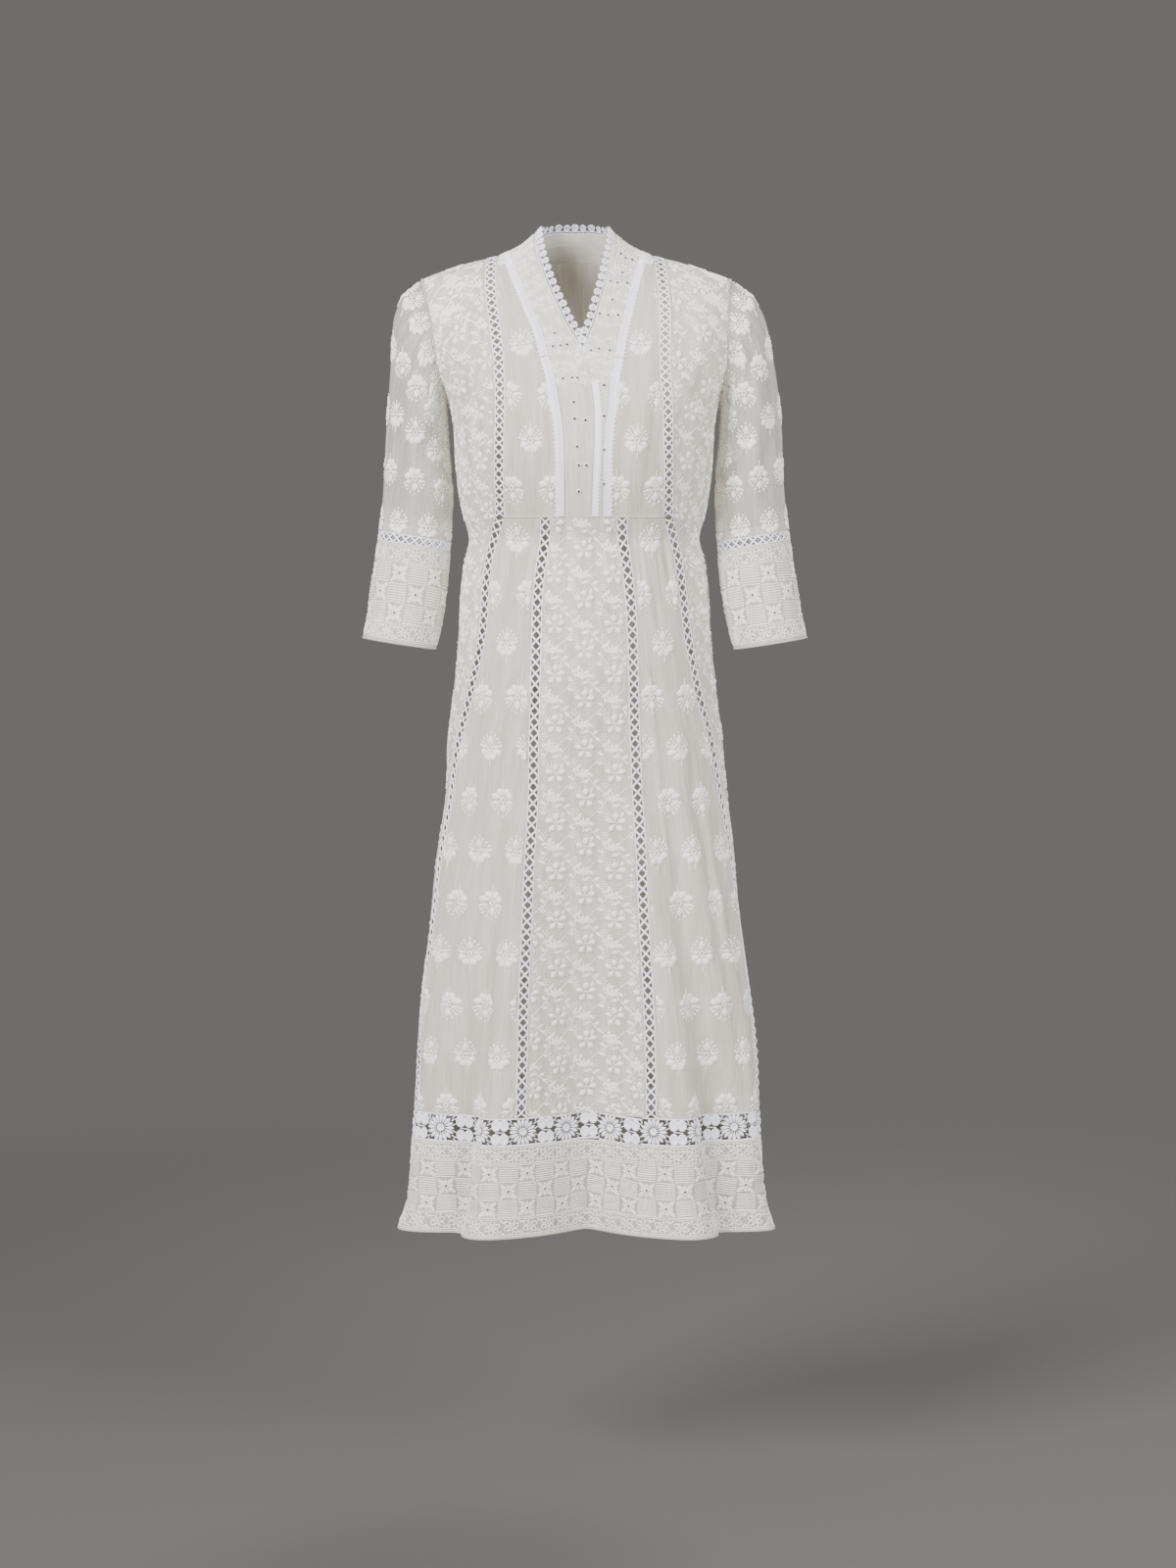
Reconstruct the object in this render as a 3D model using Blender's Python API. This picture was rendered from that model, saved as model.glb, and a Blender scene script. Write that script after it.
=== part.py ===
"""An embroidered white anarkali gown, hollow, in the shape it takes when it is worn.

Metres, +Z up. The front faces -Y and the wearer's left is +X. The origin is midway between the two shoulder
seams at the side of the neck. Every piece of the body is cut from one surface, which is a function of

    angle  round the body in degrees: 0 at the centre front, 90 at the wearer's left side seam, 180 at the back
    level  how high: 1 on the shoulder seam, 0 on the chest line, and below that minus the metres under the chest

and the sleeves run from the armholes through rings. A piece's wall goes inwards from that surface.
"""

import math

import bmesh
import bpy
import numpy as np

MM = 0.001

# ---------------------------------------------------------------- sizes of the cloth and heights on the gown
CLOTH = 1.2 * MM  # wall of every cloth and lace piece
SEAM_GAP = 0.3 * MM  # between pieces at a seam
LAID_ON = 0.4 * MM  # between a panel and a lace laid on it

CHEST_Z = -0.130  # the shoulder's rounding ends here
NECK_POINT_Z = -0.141  # the bottom of the V neck
UNDERARM_Z = -0.184
WAIST_Z = -0.324  # the seam under the yoke
HEM_LACE_Z = -1.056  # top of the daisy lace
BORDER_Z = -1.090  # top of the corded border
HEM_Z = -1.205

# Heights, half widths and depths of the body's sections, in millimetres. Squareness is the superellipse's power.
BODY_COLUMNS = ("z", "half_width", "front", "back", "squareness", "centre_x")
BODY = (
    (70, 194, 72, 72, 3.0, -12),
    (-40, 194, 80, 82, 3.0, -9),
    (-100, 188, 94, 94, 3.0, -4),
    (-140, 181, 105, 99, 2.9, -2),
    (-184, 165, 116, 100, 2.7, 0),
    (-250, 158, 122, 96, 2.4, 0),
    (-290, 154.5, 115, 89, 2.3, 0),
    (-327, 147, 105, 83, 2.2, 0),
    (-350, 141.5, 99, 81, 2.1, 0),
    (-370, 146, 100, 85, 2.05, 0),
    (-400, 151, 103, 90, 2.0, 0),
    (-460, 155, 107, 99, 2.0, 1),
    (-515, 160, 110, 106, 2.0, 1),
    (-600, 171, 112, 115, 2.0, 1),
    (-670, 177, 113, 121, 2.0, 2),
    (-730, 186, 114, 126, 2.0, 2),
    (-823, 197, 115, 133, 2.0, 2),
    (-947.5, 212, 115, 142, 2.0, 3),
    (-1056, 218, 116, 148, 2.0, 3),
    (-1118, 223, 116, 152, 2.0, 3),
    (-1180, 229, 117, 156, 2.0, 3),
    (-1205, 237, 119, 160, 2.0, 3),
)

# How high the shoulder seam lies at each distance from the centre, in millimetres.
RIDGE_COLUMNS = ("across", "height")
RIDGE = (
    (0, 62),
    (20, 55),
    (40, 34),
    (55, 18),
    (70, 7),
    (85, 0),
    (130, -12),
    (190, -32),
)

# The skirt's folds: where each one runs at the waist and at the hem, in degrees, half its width in degrees, how
# deep it is at the hem as a share of the section (a minus stands out), its power and the height where it begins.
FOLD_COLUMNS = ("at_waist", "at_hem", "half_width", "depth", "power", "start_z")
FOLDS = (
    (0, 0, 21, 0.64, 2.4, -0.52),
    (17, 53, 7.5, 0.13, 2, -0.40),
    (-19, -50, 7.5, 0.13, 2, -0.44),
    (30, 32, 8, -0.07, 2, -0.60),
    (-30, -31, 8, -0.07, 2, -0.62),
    (60, 66, 9, -0.06, 2, -0.55),
    (-58, -67, 9, -0.05, 2, -0.58),
    (84, 92, 8, 0.09, 2, -0.46),
    (-86, -94, 8, 0.10, 2, -0.50),
    (112, 118, 8, 0.14, 2, -0.44),
    (-110, -119, 9, 0.12, 2, -0.42),
    (138, 146, 8.5, 0.13, 2, -0.40),
    (-136, -145, 8, 0.14, 2, -0.46),
    (178, 181, 9, 0.15, 2, -0.42),
)

# ---------------------------------------------------------------- seams on the front, across against height in mm
SEAM_COLUMNS = ("z", "across")
NECK_EDGE = ((50, 50), (0, 47.5), (-45, 35.8), (-73, 25.4), (-104, 14.2), (-130, 5.4), (-400, 5.4))
BAND_SEAM = (
    (60, 90),
    (0, 85.5),
    (-30, 76),
    (-55, 67.5),
    (-80, 59.5),
    (-105, 51.5),
    (-130, 46),
    (-150, 41),
    (-190, 35),
    (-230, 30),
    (-280, 29),
    (-324, 28.7),
)
PRINCESS_SEAM = ((0, 102.5), (-67, 104.5), (-100, 102), (-136, 100), (-200, 101.5), (-270, 102.5), (-324, 102))
ARMHOLE = ((-30, 190), (-50, 185), (-80, 181), (-120, 178), (-150, 174), (-170, 169), (-184, 164.9))
OVERLAP_LINE = ((-90, 3), (-130, 4), (-141, 5), (-163, 8.5), (-330, 8.5))

# ---------------------------------------------------------------- seams on the skirt, degrees against height in m
INNER_SEAM = ((-0.324, 18.0), (-0.40, 21.0), (-0.60, 22.0), (-0.80, 23.0), (-1.056, 24.0))
PRINCESS_TURN = (
    (-0.324, 0.0),
    (-0.345, 6.0),
    (-0.40, 10.0),
    (-0.47, 12.0),
    (-0.533, 17.0),
    (-0.606, 24.0),
    (-0.70, 29.0),
    (-0.90, 32.0),
    (-1.056, 34.0),
)
SIDE_SEAM = ((-0.324, 90.0), (-0.60, 94.0), (-1.056, 102.0), (-1.3, 102.0))

INSERTION_WIDTH = 13.5 * MM
INSERTION_PITCH = 13.6 * MM  # from one cross of the ladder lace to the next
LADDER_GAP = ((0.15, 0.85), (0.19, 0.81))  # from and to, as shares of a repeat: along the lace and across it
BAND_LACE_WIDTH = 11 * MM
PLACKET_LACE_WIDTH = 9 * MM
PLACKET_LACE_START = 1 * MM  # from the placket's edge, across
EDGING_WIDTH = 12 * MM
EDGING_RAIL = 5 * MM  # the straight part that the scallops stand on
EDGING_END = 0.5 * MM  # between two edgings where they meet
EDGING_LEAST = 1 * MM  # how wide an edging stays where the other side cuts it short
SCALLOP_PITCH = 10.8 * MM
SCALLOP_STATIONS = (0.0, 0.2, 0.5, 0.8)  # where a scallop has points, as shares of its pitch
CENTRE_X = 0.0  # where the edgings of the two sides meet
BACK_NECK_LEVEL = 0.62  # of the neck's edge at the centre back
BACK_BAND_LEVEL = 0.45  # of the band's outer seam there
BACK_NECK_POINTS = 11  # round the back neck
DAISY_REPEAT = 60 * MM
DAISY_GAP = (10 * MM, 9 * MM)  # along and across, on each side of a daisy
DAISY_SHARE = 0.62  # of what the gaps leave of a repeat; the ovals between two daisies have the rest
DAISY_GAP_INSET = (0.06, 0.07)  # how far a gap stays from its cell's edges, as shares along and across
BORDER_HEIGHTS = (BORDER_Z, -1.150, -1.190, HEM_Z)
BORDER_COLUMNS = 36
ARMHOLE_CLEARANCE = 0.48 * MM  # from the panels' edge to the sleeve's

# How many columns of faces a panel has across.
BAND_COLUMNS = 3
YOKE_COLUMNS = 4
SIDE_COLUMNS = 5
MIDDLE_COLUMNS = 12
SKIRT_COLUMNS = 9
BACK_COLUMNS = 24

# The levels that every piece of the bodice shares, so that seams meet point to point.
ROOF_LEVELS = (1.0, 0.83, 0.66, 0.48, 0.31, 0.15, 0.0)
CHEST_HEIGHTS = (NECK_POINT_Z, -0.163, UNDERARM_Z, -0.215, -0.250, -0.287, WAIST_Z)
SKIRT_HEIGHTS = (WAIST_Z, -0.350, -0.380, -0.430, -0.500, -0.590, -0.680, -0.770, -0.860, -0.955, HEM_LACE_Z)

# The left sleeve's rings from the shoulder out, in millimetres: the ring's outer and inner point in front view,
# where its middle is from front to back, and half its depth. The armhole itself comes before the first ring.
RING_COLUMNS = ("outer_x", "outer_z", "inner_x", "inner_z", "middle_y", "half_depth")
SLEEVE_RINGS = (
    (207, -52, 169, -193, 0, 49),
    (221, -76, 168.5, -206, 2, 50),
    (231, -118.5, 167.5, -224, 3, 50),
    (245, -219, 163.5, -271, 4, 48),
    (247, -274, 162, -302, 4, 47),
    (253, -340, 165, -354, 2, 46),
)
CUFF_RINGS = (
    (254.5, -350, 166, -364, 1, 46),
    (259, -383, 168, -395, -2, 45),
    (264, -409.5, 171, -421, -5, 44),
    (268.5, -441, 177.5, -454, -8, 43),
    (275, -471.5, 186, -485.5, -12, 42),
)

COLOURS = {
    # name: red, green, blue, roughness
    "embroidered_mul": (0.80, 0.79, 0.76, 0.85),
    "sheer_organza": (0.82, 0.81, 0.79, 0.75),
    "cotton_lace": (0.83, 0.83, 0.90, 0.80),
    "beaded_band": (0.80, 0.78, 0.73, 0.80),
    "corded_border": (0.79, 0.77, 0.73, 0.85),
}


# ---------------------------------------------------------------- curves and sections
def column(table, columns, name):
    """One named column of a table, as an array."""
    return np.array([row[columns.index(name)] for row in table], float)


def smooth(at, xs, ys):
    """A cubic curve through the points (xs, ys), read at the values at; flat beyond its ends."""
    order = np.argsort(xs)
    xs, ys = xs[order], ys[order]
    at = np.clip(at, xs[0], xs[-1])
    slopes = np.gradient(ys, xs)
    left = np.clip(np.searchsorted(xs, at, side="right") - 1, 0, len(xs) - 2)
    span = xs[left + 1] - xs[left]
    t = (at - xs[left]) / span
    rise = ys[left + 1] - ys[left]
    return (
        ys[left]
        + rise * t * t * (3 - 2 * t)
        + span * t * (1 - t) * (slopes[left] * (1 - t) - slopes[left + 1] * t)
    )


def straight(at, table, columns=SEAM_COLUMNS):
    """A seam's second column at the values at of its first, by straight lines between the table's rows."""
    xs, ys = (column(table, columns, name) for name in columns)
    order = np.argsort(xs)
    return np.interp(at, xs[order], ys[order])


def curved(at, table, columns=SEAM_COLUMNS):
    """The same by a cubic curve."""
    return smooth(at, *(column(table, columns, name) for name in columns))


def section(z, name):
    """A size of the body's section at height z, in metres, or its squareness."""
    value = smooth(z, column(BODY, BODY_COLUMNS, "z") * MM, column(BODY, BODY_COLUMNS, name))
    return value if name == "squareness" else value * MM


def ridge(across):
    """The shoulder seam's height at a distance from the centre."""
    height = smooth(
        np.abs(across), column(RIDGE, RIDGE_COLUMNS, "across") * MM, column(RIDGE, RIDGE_COLUMNS, "height")
    )
    return height * MM


def folds(angle, z):
    """How far the skirt's folds draw a section in, as a share of it: each valley is a bell across its angle
    that runs in a slanting line down the skirt and deepens from where it starts."""
    depth = np.zeros(np.broadcast(angle, z).shape)
    down = np.clip((WAIST_Z - z) / (WAIST_Z - HEM_Z), 0, 1)
    for row in FOLDS:
        fold = dict(zip(FOLD_COLUMNS, row))
        middle = fold["at_waist"] + (fold["at_hem"] - fold["at_waist"]) * down
        away = np.abs((angle - middle + 180) % 360 - 180)
        grown = np.clip((fold["start_z"] - z) / (fold["start_z"] - HEM_Z), 0, 1)
        depth = depth + fold["depth"] * grown * np.exp(-((away / fold["half_width"]) ** fold["power"]))
    return depth


def surface(angle, level):
    """The outer cloth's points. Below the chest a section is a superellipse drawn in by the folds. Above it the
    section's depth shrinks by a quarter turn, which ends on the shoulder seam."""
    angle, level = np.broadcast_arrays(np.asarray(angle, float), np.asarray(level, float))
    sine, cosine = np.sin(np.radians(angle)), np.cos(np.radians(angle))
    turn = np.radians(90 * (1 - np.clip(level, 0, 1)))
    z = CHEST_Z + np.minimum(level, 0)
    for _ in range(8):
        power = section(z, "squareness")
        reach = (np.abs(sine) ** power + np.abs(cosine) ** power) ** (-1 / power)
        across = section(z, "half_width") * reach * sine
        z = np.where(level > 0, CHEST_Z + (ridge(across) - CHEST_Z) * np.cos(turn), CHEST_Z + level)
    depth = np.where(cosine > 0, section(z, "front"), section(z, "back"))
    drawn = 1 - folds(angle, z)
    return np.stack(
        [section(z, "centre_x") + across * drawn, -depth * reach * cosine * np.sin(turn) * drawn, z], axis=-1
    )


def along(angle, level):
    """The unit tangent of the surface towards larger angles."""
    step = surface(angle + 0.25, level) - surface(angle - 0.25, level)
    return step / np.linalg.norm(step, axis=-1, keepdims=True)


def outward(angle, level):
    """The unit normal of the surface. It is level below the chest, so that walls end flat at level seams."""
    angle, level = np.broadcast_arrays(np.asarray(angle, float), np.asarray(level, float))
    up = np.zeros(angle.shape + (3,))
    up[..., 2] = 1
    top = np.minimum(level + 0.01, 1)
    rising = surface(angle, top) - surface(angle, np.maximum(top - 0.02, 0.001))
    up = np.where(level[..., None] > 0, rising, up)
    normal = np.cross(along(angle, level), up)
    return normal / np.linalg.norm(normal, axis=-1, keepdims=True)


def angle_at(across, level):
    """The angle where the surface at this level lies across (a function of the height) from the centre."""
    angle = np.full(np.shape(level), 30.0)
    for _ in range(25):
        z = surface(angle, level)[..., 2]
        power = section(z, "squareness")
        share = np.clip(across(z) / section(z, "half_width"), 0.0, 0.9999) ** power
        angle = np.degrees(np.arctan((share / (1 - share)) ** (1 / power)))
    return angle


def widened(angle, level, width):
    """The angles half a width before and after a seam."""
    per_degree = np.linalg.norm(surface(angle + 0.5, level) - surface(angle - 0.5, level), axis=-1)
    return angle - width / 2 / per_degree, angle + width / 2 / per_degree


# ---------------------------------------------------------------- making solids
def clear_scene():
    for thing in list(bpy.data.objects):
        bpy.data.objects.remove(thing)


def make_materials():
    made = {}
    for name, (red, green, blue, roughness) in COLOURS.items():
        material = bpy.data.materials.new(name)
        material.use_nodes = True
        shader = material.node_tree.nodes["Principled BSDF"]
        shader.inputs["Base Color"].default_value = (red, green, blue, 1)
        shader.inputs["Roughness"].default_value = roughness
        shader.inputs["Metallic"].default_value = 0.0
        made[name] = material
    return made


def add_solid(name, points, faces, material):
    """One closed solid from its points and faces, with its faces turned outwards."""
    mesh = bpy.data.meshes.new(name)
    mesh.from_pydata([tuple(p) for p in points], [], [tuple(int(i) for i in f) for f in faces])
    shape = bmesh.new()
    shape.from_mesh(mesh)
    bmesh.ops.recalc_face_normals(shape, faces=shape.faces)
    shape.to_mesh(mesh)
    shape.free()
    mesh.shade_smooth()
    mesh.set_sharp_from_angle(angle=math.radians(50))
    mesh.materials.append(MATERIALS[material])
    piece = bpy.data.objects.new(name, mesh)
    GOWN.objects.link(piece)
    return piece


def wall(name, outer, inner, material, closed=False):
    """A cloth wall between two grids of points, with its rims. A closed one goes all round, like a sleeve."""
    rows, cols = outer.shape[:2]
    index = np.arange(rows * cols).reshape(rows, cols)
    if closed:
        index = np.hstack([index, index[:, :1]])
    back = index + rows * cols
    faces = []
    for front in (index, back):
        quads = np.stack([front[:-1, :-1], front[1:, :-1], front[1:, 1:], front[:-1, 1:]], -1).reshape(-1, 4)
        faces.extend(quads)
    rims = [(index[0], back[0]), (index[-1], back[-1])]
    if not closed:
        rims += [(index[:, 0], back[:, 0]), (index[:, -1], back[:, -1])]
    for edge, behind in rims:
        faces.extend(np.stack([edge[:-1], edge[1:], behind[1:], behind[:-1]], -1))
    return add_solid(name, np.vstack([outer.reshape(-1, 3), inner.reshape(-1, 3)]), faces, material)


def pierced_strip(name, first, second, first_in, second_in, gaps, material):
    """A lace strip between two edges, given as points at its stations, with a diamond gap in some of its cells.
    gaps has one entry for each cell: None, or (from, to) along the cell and (from, to) across it."""
    stations = len(first)
    points = list(np.vstack([first, second, first_in, second_in]))
    a, b = np.arange(stations), np.arange(stations) + stations
    a_in, b_in = a + 2 * stations, b + 2 * stations
    faces = [(a[0], b[0], b_in[0], a_in[0]), (a[-1], b[-1], b_in[-1], a_in[-1])]
    for k, gap in enumerate(gaps):
        corners = (a[k], a[k + 1], b[k + 1], b[k])
        corners_in = (a_in[k], a_in[k + 1], b_in[k + 1], b_in[k])
        faces.append((a[k], a[k + 1], a_in[k + 1], a_in[k]))
        faces.append((b[k], b[k + 1], b_in[k + 1], b_in[k]))
        if gap is None:
            faces += [corners, corners_in]
            continue
        (u0, u1), (v0, v1) = gap
        middle_u, middle_v = (u0 + u1) / 2, (v0 + v1) / 2
        rings = []
        for ring in (corners, corners_in):
            p = [np.asarray(points[i]) for i in ring]
            tips = ((middle_u, v0), (u1, middle_v), (middle_u, v1), (u0, middle_v))
            rings.append(list(range(len(points), len(points) + 4)))
            for u, v in tips:
                points.append((p[0] * (1 - u) + p[1] * u) * (1 - v) + (p[3] * (1 - u) + p[2] * u) * v)
        for ring, tips in ((corners, rings[0]), (corners_in, rings[1])):
            for i in range(4):
                faces.append((ring[i], ring[(i + 1) % 4], tips[i]))
                faces.append((ring[(i + 1) % 4], tips[(i + 1) % 4], tips[i]))
        for i in range(4):
            n = (i + 1) % 4
            faces.append((rings[0][i], rings[0][n], rings[1][n], rings[1][i]))
    return add_solid(name, points, faces, material)


def grid_walls(angle, level, lift=0.0, close_rows=(True, True), close_sides=(True, True)):
    """The outer and inner points of a panel on a grid of angles and levels. Each side that meets a seam
    stands half a gap back from it. lift moves what is laid on a panel out from it."""
    points, normal, tangent = surface(angle, level), outward(angle, level), along(angle, level)
    half = SEAM_GAP / 2
    if close_sides[0]:
        points[:, 0] += half * tangent[:, 0]
    if close_sides[1]:
        points[:, -1] -= half * tangent[:, -1]
    if close_rows[0]:
        on_shoulder = (level[0] > 0.999)[:, None]
        to_back = np.where(np.cos(np.radians(angle[0])) > 0, -1.0, 1.0)[:, None]
        points[0] += half * np.where(on_shoulder, to_back * np.array([0, 1.0, 0]), [0, 0, -1.0])
    if close_rows[1]:
        points[-1] += half * np.array([0, 0, 1.0])
    return points + lift * normal, points + (lift - CLOTH) * normal


def panel_walls(levels, left, right, columns, lift=0.0):
    """A panel's outer and inner points between two seams, given as one angle for each level."""
    share = np.linspace(0, 1, columns + 1)[None, :]
    angle = left[:, None] + (right - left)[:, None] * share
    return grid_walls(angle, np.broadcast_to(levels[:, None], angle.shape).copy(), lift)


def panel(name, levels, left, right, columns, material, lift=0.0):
    """The panel itself, as a solid."""
    wall(name, *panel_walls(levels, left, right, columns, lift), material)


def both_sides(name, levels, left, right, columns, material, lift=0.0):
    """The same panel on the wearer's left and, mirrored, on the right."""
    panel(name + "_left", levels, left, right, columns, material, lift)
    panel(name + "_right", levels, -right, -left, columns, material, lift)


def finer(points, counts):
    """Extra points on the straight stretches between a line's points, so that it still runs along them."""
    stretches = [points[i] + (points[i + 1] - points[i]) * (np.arange(n) / n)[:, None] for i, n in enumerate(counts)]
    return np.vstack(stretches + [points[-1:]])


# ---------------------------------------------------------------- levels and seams of the body
def as_level(z):
    return np.asarray(z) - CHEST_Z


BODICE = np.array(list(ROOF_LEVELS) + [as_level(z) for z in CHEST_HEIGHTS])
SKIRT = as_level(np.array(SKIRT_HEIGHTS))
UNDERARM_ROW = len(ROOF_LEVELS) + CHEST_HEIGHTS.index(UNDERARM_Z)
NECK_ROW = len(ROOF_LEVELS)


def seam_on_bodice(table):
    return angle_at(lambda z: curved(z / MM, table) * MM, BODICE)


def seam_on_skirt(table):
    return curved(np.array(SKIRT_HEIGHTS), table)


def armhole_angles():
    """The armhole's edge down to the underarm, then the side seam."""
    angle = angle_at(lambda z: curved(z / MM, ARMHOLE) * MM, BODICE)
    angle[UNDERARM_ROW:] = 90.0
    return angle


def overlap_angles():
    """The line below the V where the right band laps over the left one, on the wearer's left of the centre."""
    return angle_at(lambda z: np.maximum(straight(z / MM, OVERLAP_LINE), 0) * MM, BODICE)


# ---------------------------------------------------------------- neck bands, edgings and band laces
def neck_band(outer_seam, neck_edge, overlap):
    """The bead-worked band: two fronts that meet where the placket laps, and a stand round the back of the neck.
    The scalloped edging is sewn to the neck's edge all round, and a second strip lies along the placket."""
    above = np.arange(len(BODICE)) < NECK_ROW
    left = (np.where(above, neck_edge, overlap), outer_seam)
    right = (-outer_seam, np.where(above, -neck_edge, overlap))
    for name, (start, stop), edge_column in (("left", left, 0), ("right", right, -1)):
        outer, inner = panel_walls(BODICE, start, stop, BAND_COLUMNS)
        wall("neck_band_" + name, outer, inner, "beaded_band")
        into = -1 if name == "left" else 1
        edging("neck_edging_" + name, outer[:NECK_ROW, edge_column], inner[:NECK_ROW, edge_column], into)
    angle, level = back_neck_curves(neck_edge[0], outer_seam[0], across=(0.0, 0.5, 1.0))
    outer, inner = grid_walls(angle, level, close_rows=(False, False), close_sides=(False, False))
    settle_back_strip(outer, inner)
    wall("neck_band_back", outer, inner, "beaded_band")
    edging("neck_edging_back", outer[:, 0], inner[:, 0], 0)
    lower = slice(NECK_ROW + 1, None)
    _, first = widened(overlap[lower], BODICE[lower], PLACKET_LACE_START)
    _, last = widened(overlap[lower], BODICE[lower], 2 * PLACKET_LACE_WIDTH)
    panel("placket_lace", BODICE[lower], first, last, 1, "cotton_lace", lift=LAID_ON + CLOTH)


def back_neck_curves(neck_angle, shoulder_angle, across):
    """Angles and levels of the back band: quarter turns from the shoulder seam down to the centre back and up
    again. across is 0 on the neck's edge and 1 on the band's outer seam."""
    around = np.radians(np.linspace(-90, 90, BACK_NECK_POINTS))
    share = np.array(across)[None, :]
    reach = neck_angle + (shoulder_angle - neck_angle) * share
    low = BACK_NECK_LEVEL + (BACK_BAND_LEVEL - BACK_NECK_LEVEL) * share
    angle = 180 - reach * np.sin(around)[:, None]
    level = low + (1 - low) * (1 - np.cos(around))[:, None]
    return angle, level


def settle_back_strip(outer, inner):
    """Stands a strip's two ends half a gap behind the shoulder seams, and its edge short of the bodice."""
    for end in (0, -1):
        for side in (outer, inner):
            side[end] += [0, SEAM_GAP / 2, 0]
    for side in (outer, inner):
        away = side[:, -2] - side[:, -1]
        side[:, -1] += SEAM_GAP * away / np.linalg.norm(away, axis=1, keepdims=True)


def edging(name, outer, inner, into):
    """Scalloped cotton edging that goes on from a band's edge into the neck's opening: into is -1 on the
    wearer's left, 1 on the right and 0 round the back, where it stands up."""
    normal = (outer - inner) / CLOTH
    across = np.cross(np.gradient(outer, axis=0), normal)
    across /= np.linalg.norm(across, axis=1, keepdims=True)
    across *= np.sign(across[len(across) // 2] @ np.array([into, 0, 1 if into == 0 else 0]))
    length = np.append(0, np.cumsum(np.linalg.norm(np.diff(outer, axis=0), axis=1)))
    used = length[-1] - 2 * EDGING_END
    count = int(used / SCALLOP_PITCH)
    at = np.append((np.arange(count)[:, None] + np.array(SCALLOP_STATIONS)).ravel(), count)
    width = EDGING_RAIL + (EDGING_WIDTH - EDGING_RAIL) * np.sqrt(np.clip(np.sin(np.pi * (at % 1)), 0, 1))
    at = EDGING_END + at / count * used

    def read(values):
        return np.stack([np.interp(at, length, values[:, k]) for k in range(3)], axis=1)

    base, out, tangent = read(outer), read(normal), read(across)
    near = base + SEAM_GAP * tangent
    far = base + width[:, None] * tangent
    if into:
        far[:, 0] = into * np.minimum(into * far[:, 0], into * CENTRE_X - EDGING_END)
        width_left = into * (far[:, 0] - near[:, 0])
        far[:, 0] = np.where(width_left > EDGING_LEAST, far[:, 0], near[:, 0] + into * EDGING_LEAST)
    grid = np.stack([near, far], axis=1)
    wall(name, grid, grid - CLOTH * out[:, None, :], "cotton_lace")


def band_laces(outer_seam):
    """Lace laid over the seam between the band and the yoke, from the shoulder to the waist."""
    left, right = widened(outer_seam, BODICE, BAND_LACE_WIDTH)
    both_sides("band_lace", BODICE, left, right, 1, "cotton_lace", lift=LAID_ON + CLOTH)


# ---------------------------------------------------------------- ladder insertions
def insertion(name, levels, left, right):
    """Ladder lace between two panels: crossed bars between two rails, open in a diamond between the crosses."""
    outer, inner = panel_walls(levels, left, right, 1)
    lengths = np.linalg.norm(np.diff(outer.mean(1), axis=0), axis=1)
    counts = np.maximum(np.round(lengths / INSERTION_PITCH).astype(int), 1)
    edges = [finer(grid[:, side], counts) for grid in (outer, inner) for side in (0, 1)]
    pierced_strip(name, *edges, [LADDER_GAP] * int(counts.sum()), "cotton_lace")


def ladder_insertions(princess_left, princess_right, side_left, side_right, inner_left, inner_right):
    """Down each side of the yoke and on beside the side panel, and down each side of the skirt's middle panel.
    The lace beside the side panels stays uncut, because the others use up the gaps that the solids may have."""
    insertion("yoke_insertion_left", BODICE, princess_left, princess_right)
    insertion("yoke_insertion_right", BODICE, -princess_right, -princess_left)
    insertion("skirt_insertion_left", SKIRT, inner_left, inner_right)
    insertion("skirt_insertion_right", SKIRT, -inner_right, -inner_left)
    both_sides("side_insertion", SKIRT, side_left, side_right, 1, "cotton_lace")


# ---------------------------------------------------------------- back
def back_bodice(neck_edge, outer_seam, armhole):
    """The back from armhole to armhole: its top follows the shoulder seams and the back band."""
    neck_angle, neck_level = (curve[::-1, 0] for curve in back_neck_curves(neck_edge[0], outer_seam[0], (1.0,)))
    start = 180 - armhole[0]
    shoulder = start + (neck_angle[0] - start) * np.array([0, 1 / 3, 2 / 3])
    top_angle = np.concatenate([shoulder, neck_angle, 360 - shoulder[::-1]])
    top_level = np.concatenate([np.ones(3), neck_level, np.ones(3)])
    share = (top_angle - start) / (360 - 2 * start)
    left = 180 - armhole
    angle = left[:, None] + (360 - 2 * left)[:, None] * share[None, :]
    level = np.where(BODICE[:, None] > 0, BODICE[:, None] * top_level[None, :], BODICE[:, None])
    wall("back_bodice", *grid_walls(angle, level), "embroidered_mul")


# ---------------------------------------------------------------- hem
def hem_rings():
    """Daisy lace let in above the corded border. Each is a front and a back, joined at the sides."""
    side = SIDE_SEAM[-1][1]
    for name, start, stop in (("front", -side, side), ("back", side, 360 - side)):
        daisy_lace("hem_lace_" + name, start, stop)
        around = np.linspace(start, stop, BORDER_COLUMNS + 1)
        outer, inner = grid_walls(*np.meshgrid(around, as_level(BORDER_HEIGHTS)), close_rows=(True, False))
        wall("hem_border_" + name, outer, inner, "corded_border")


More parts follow.
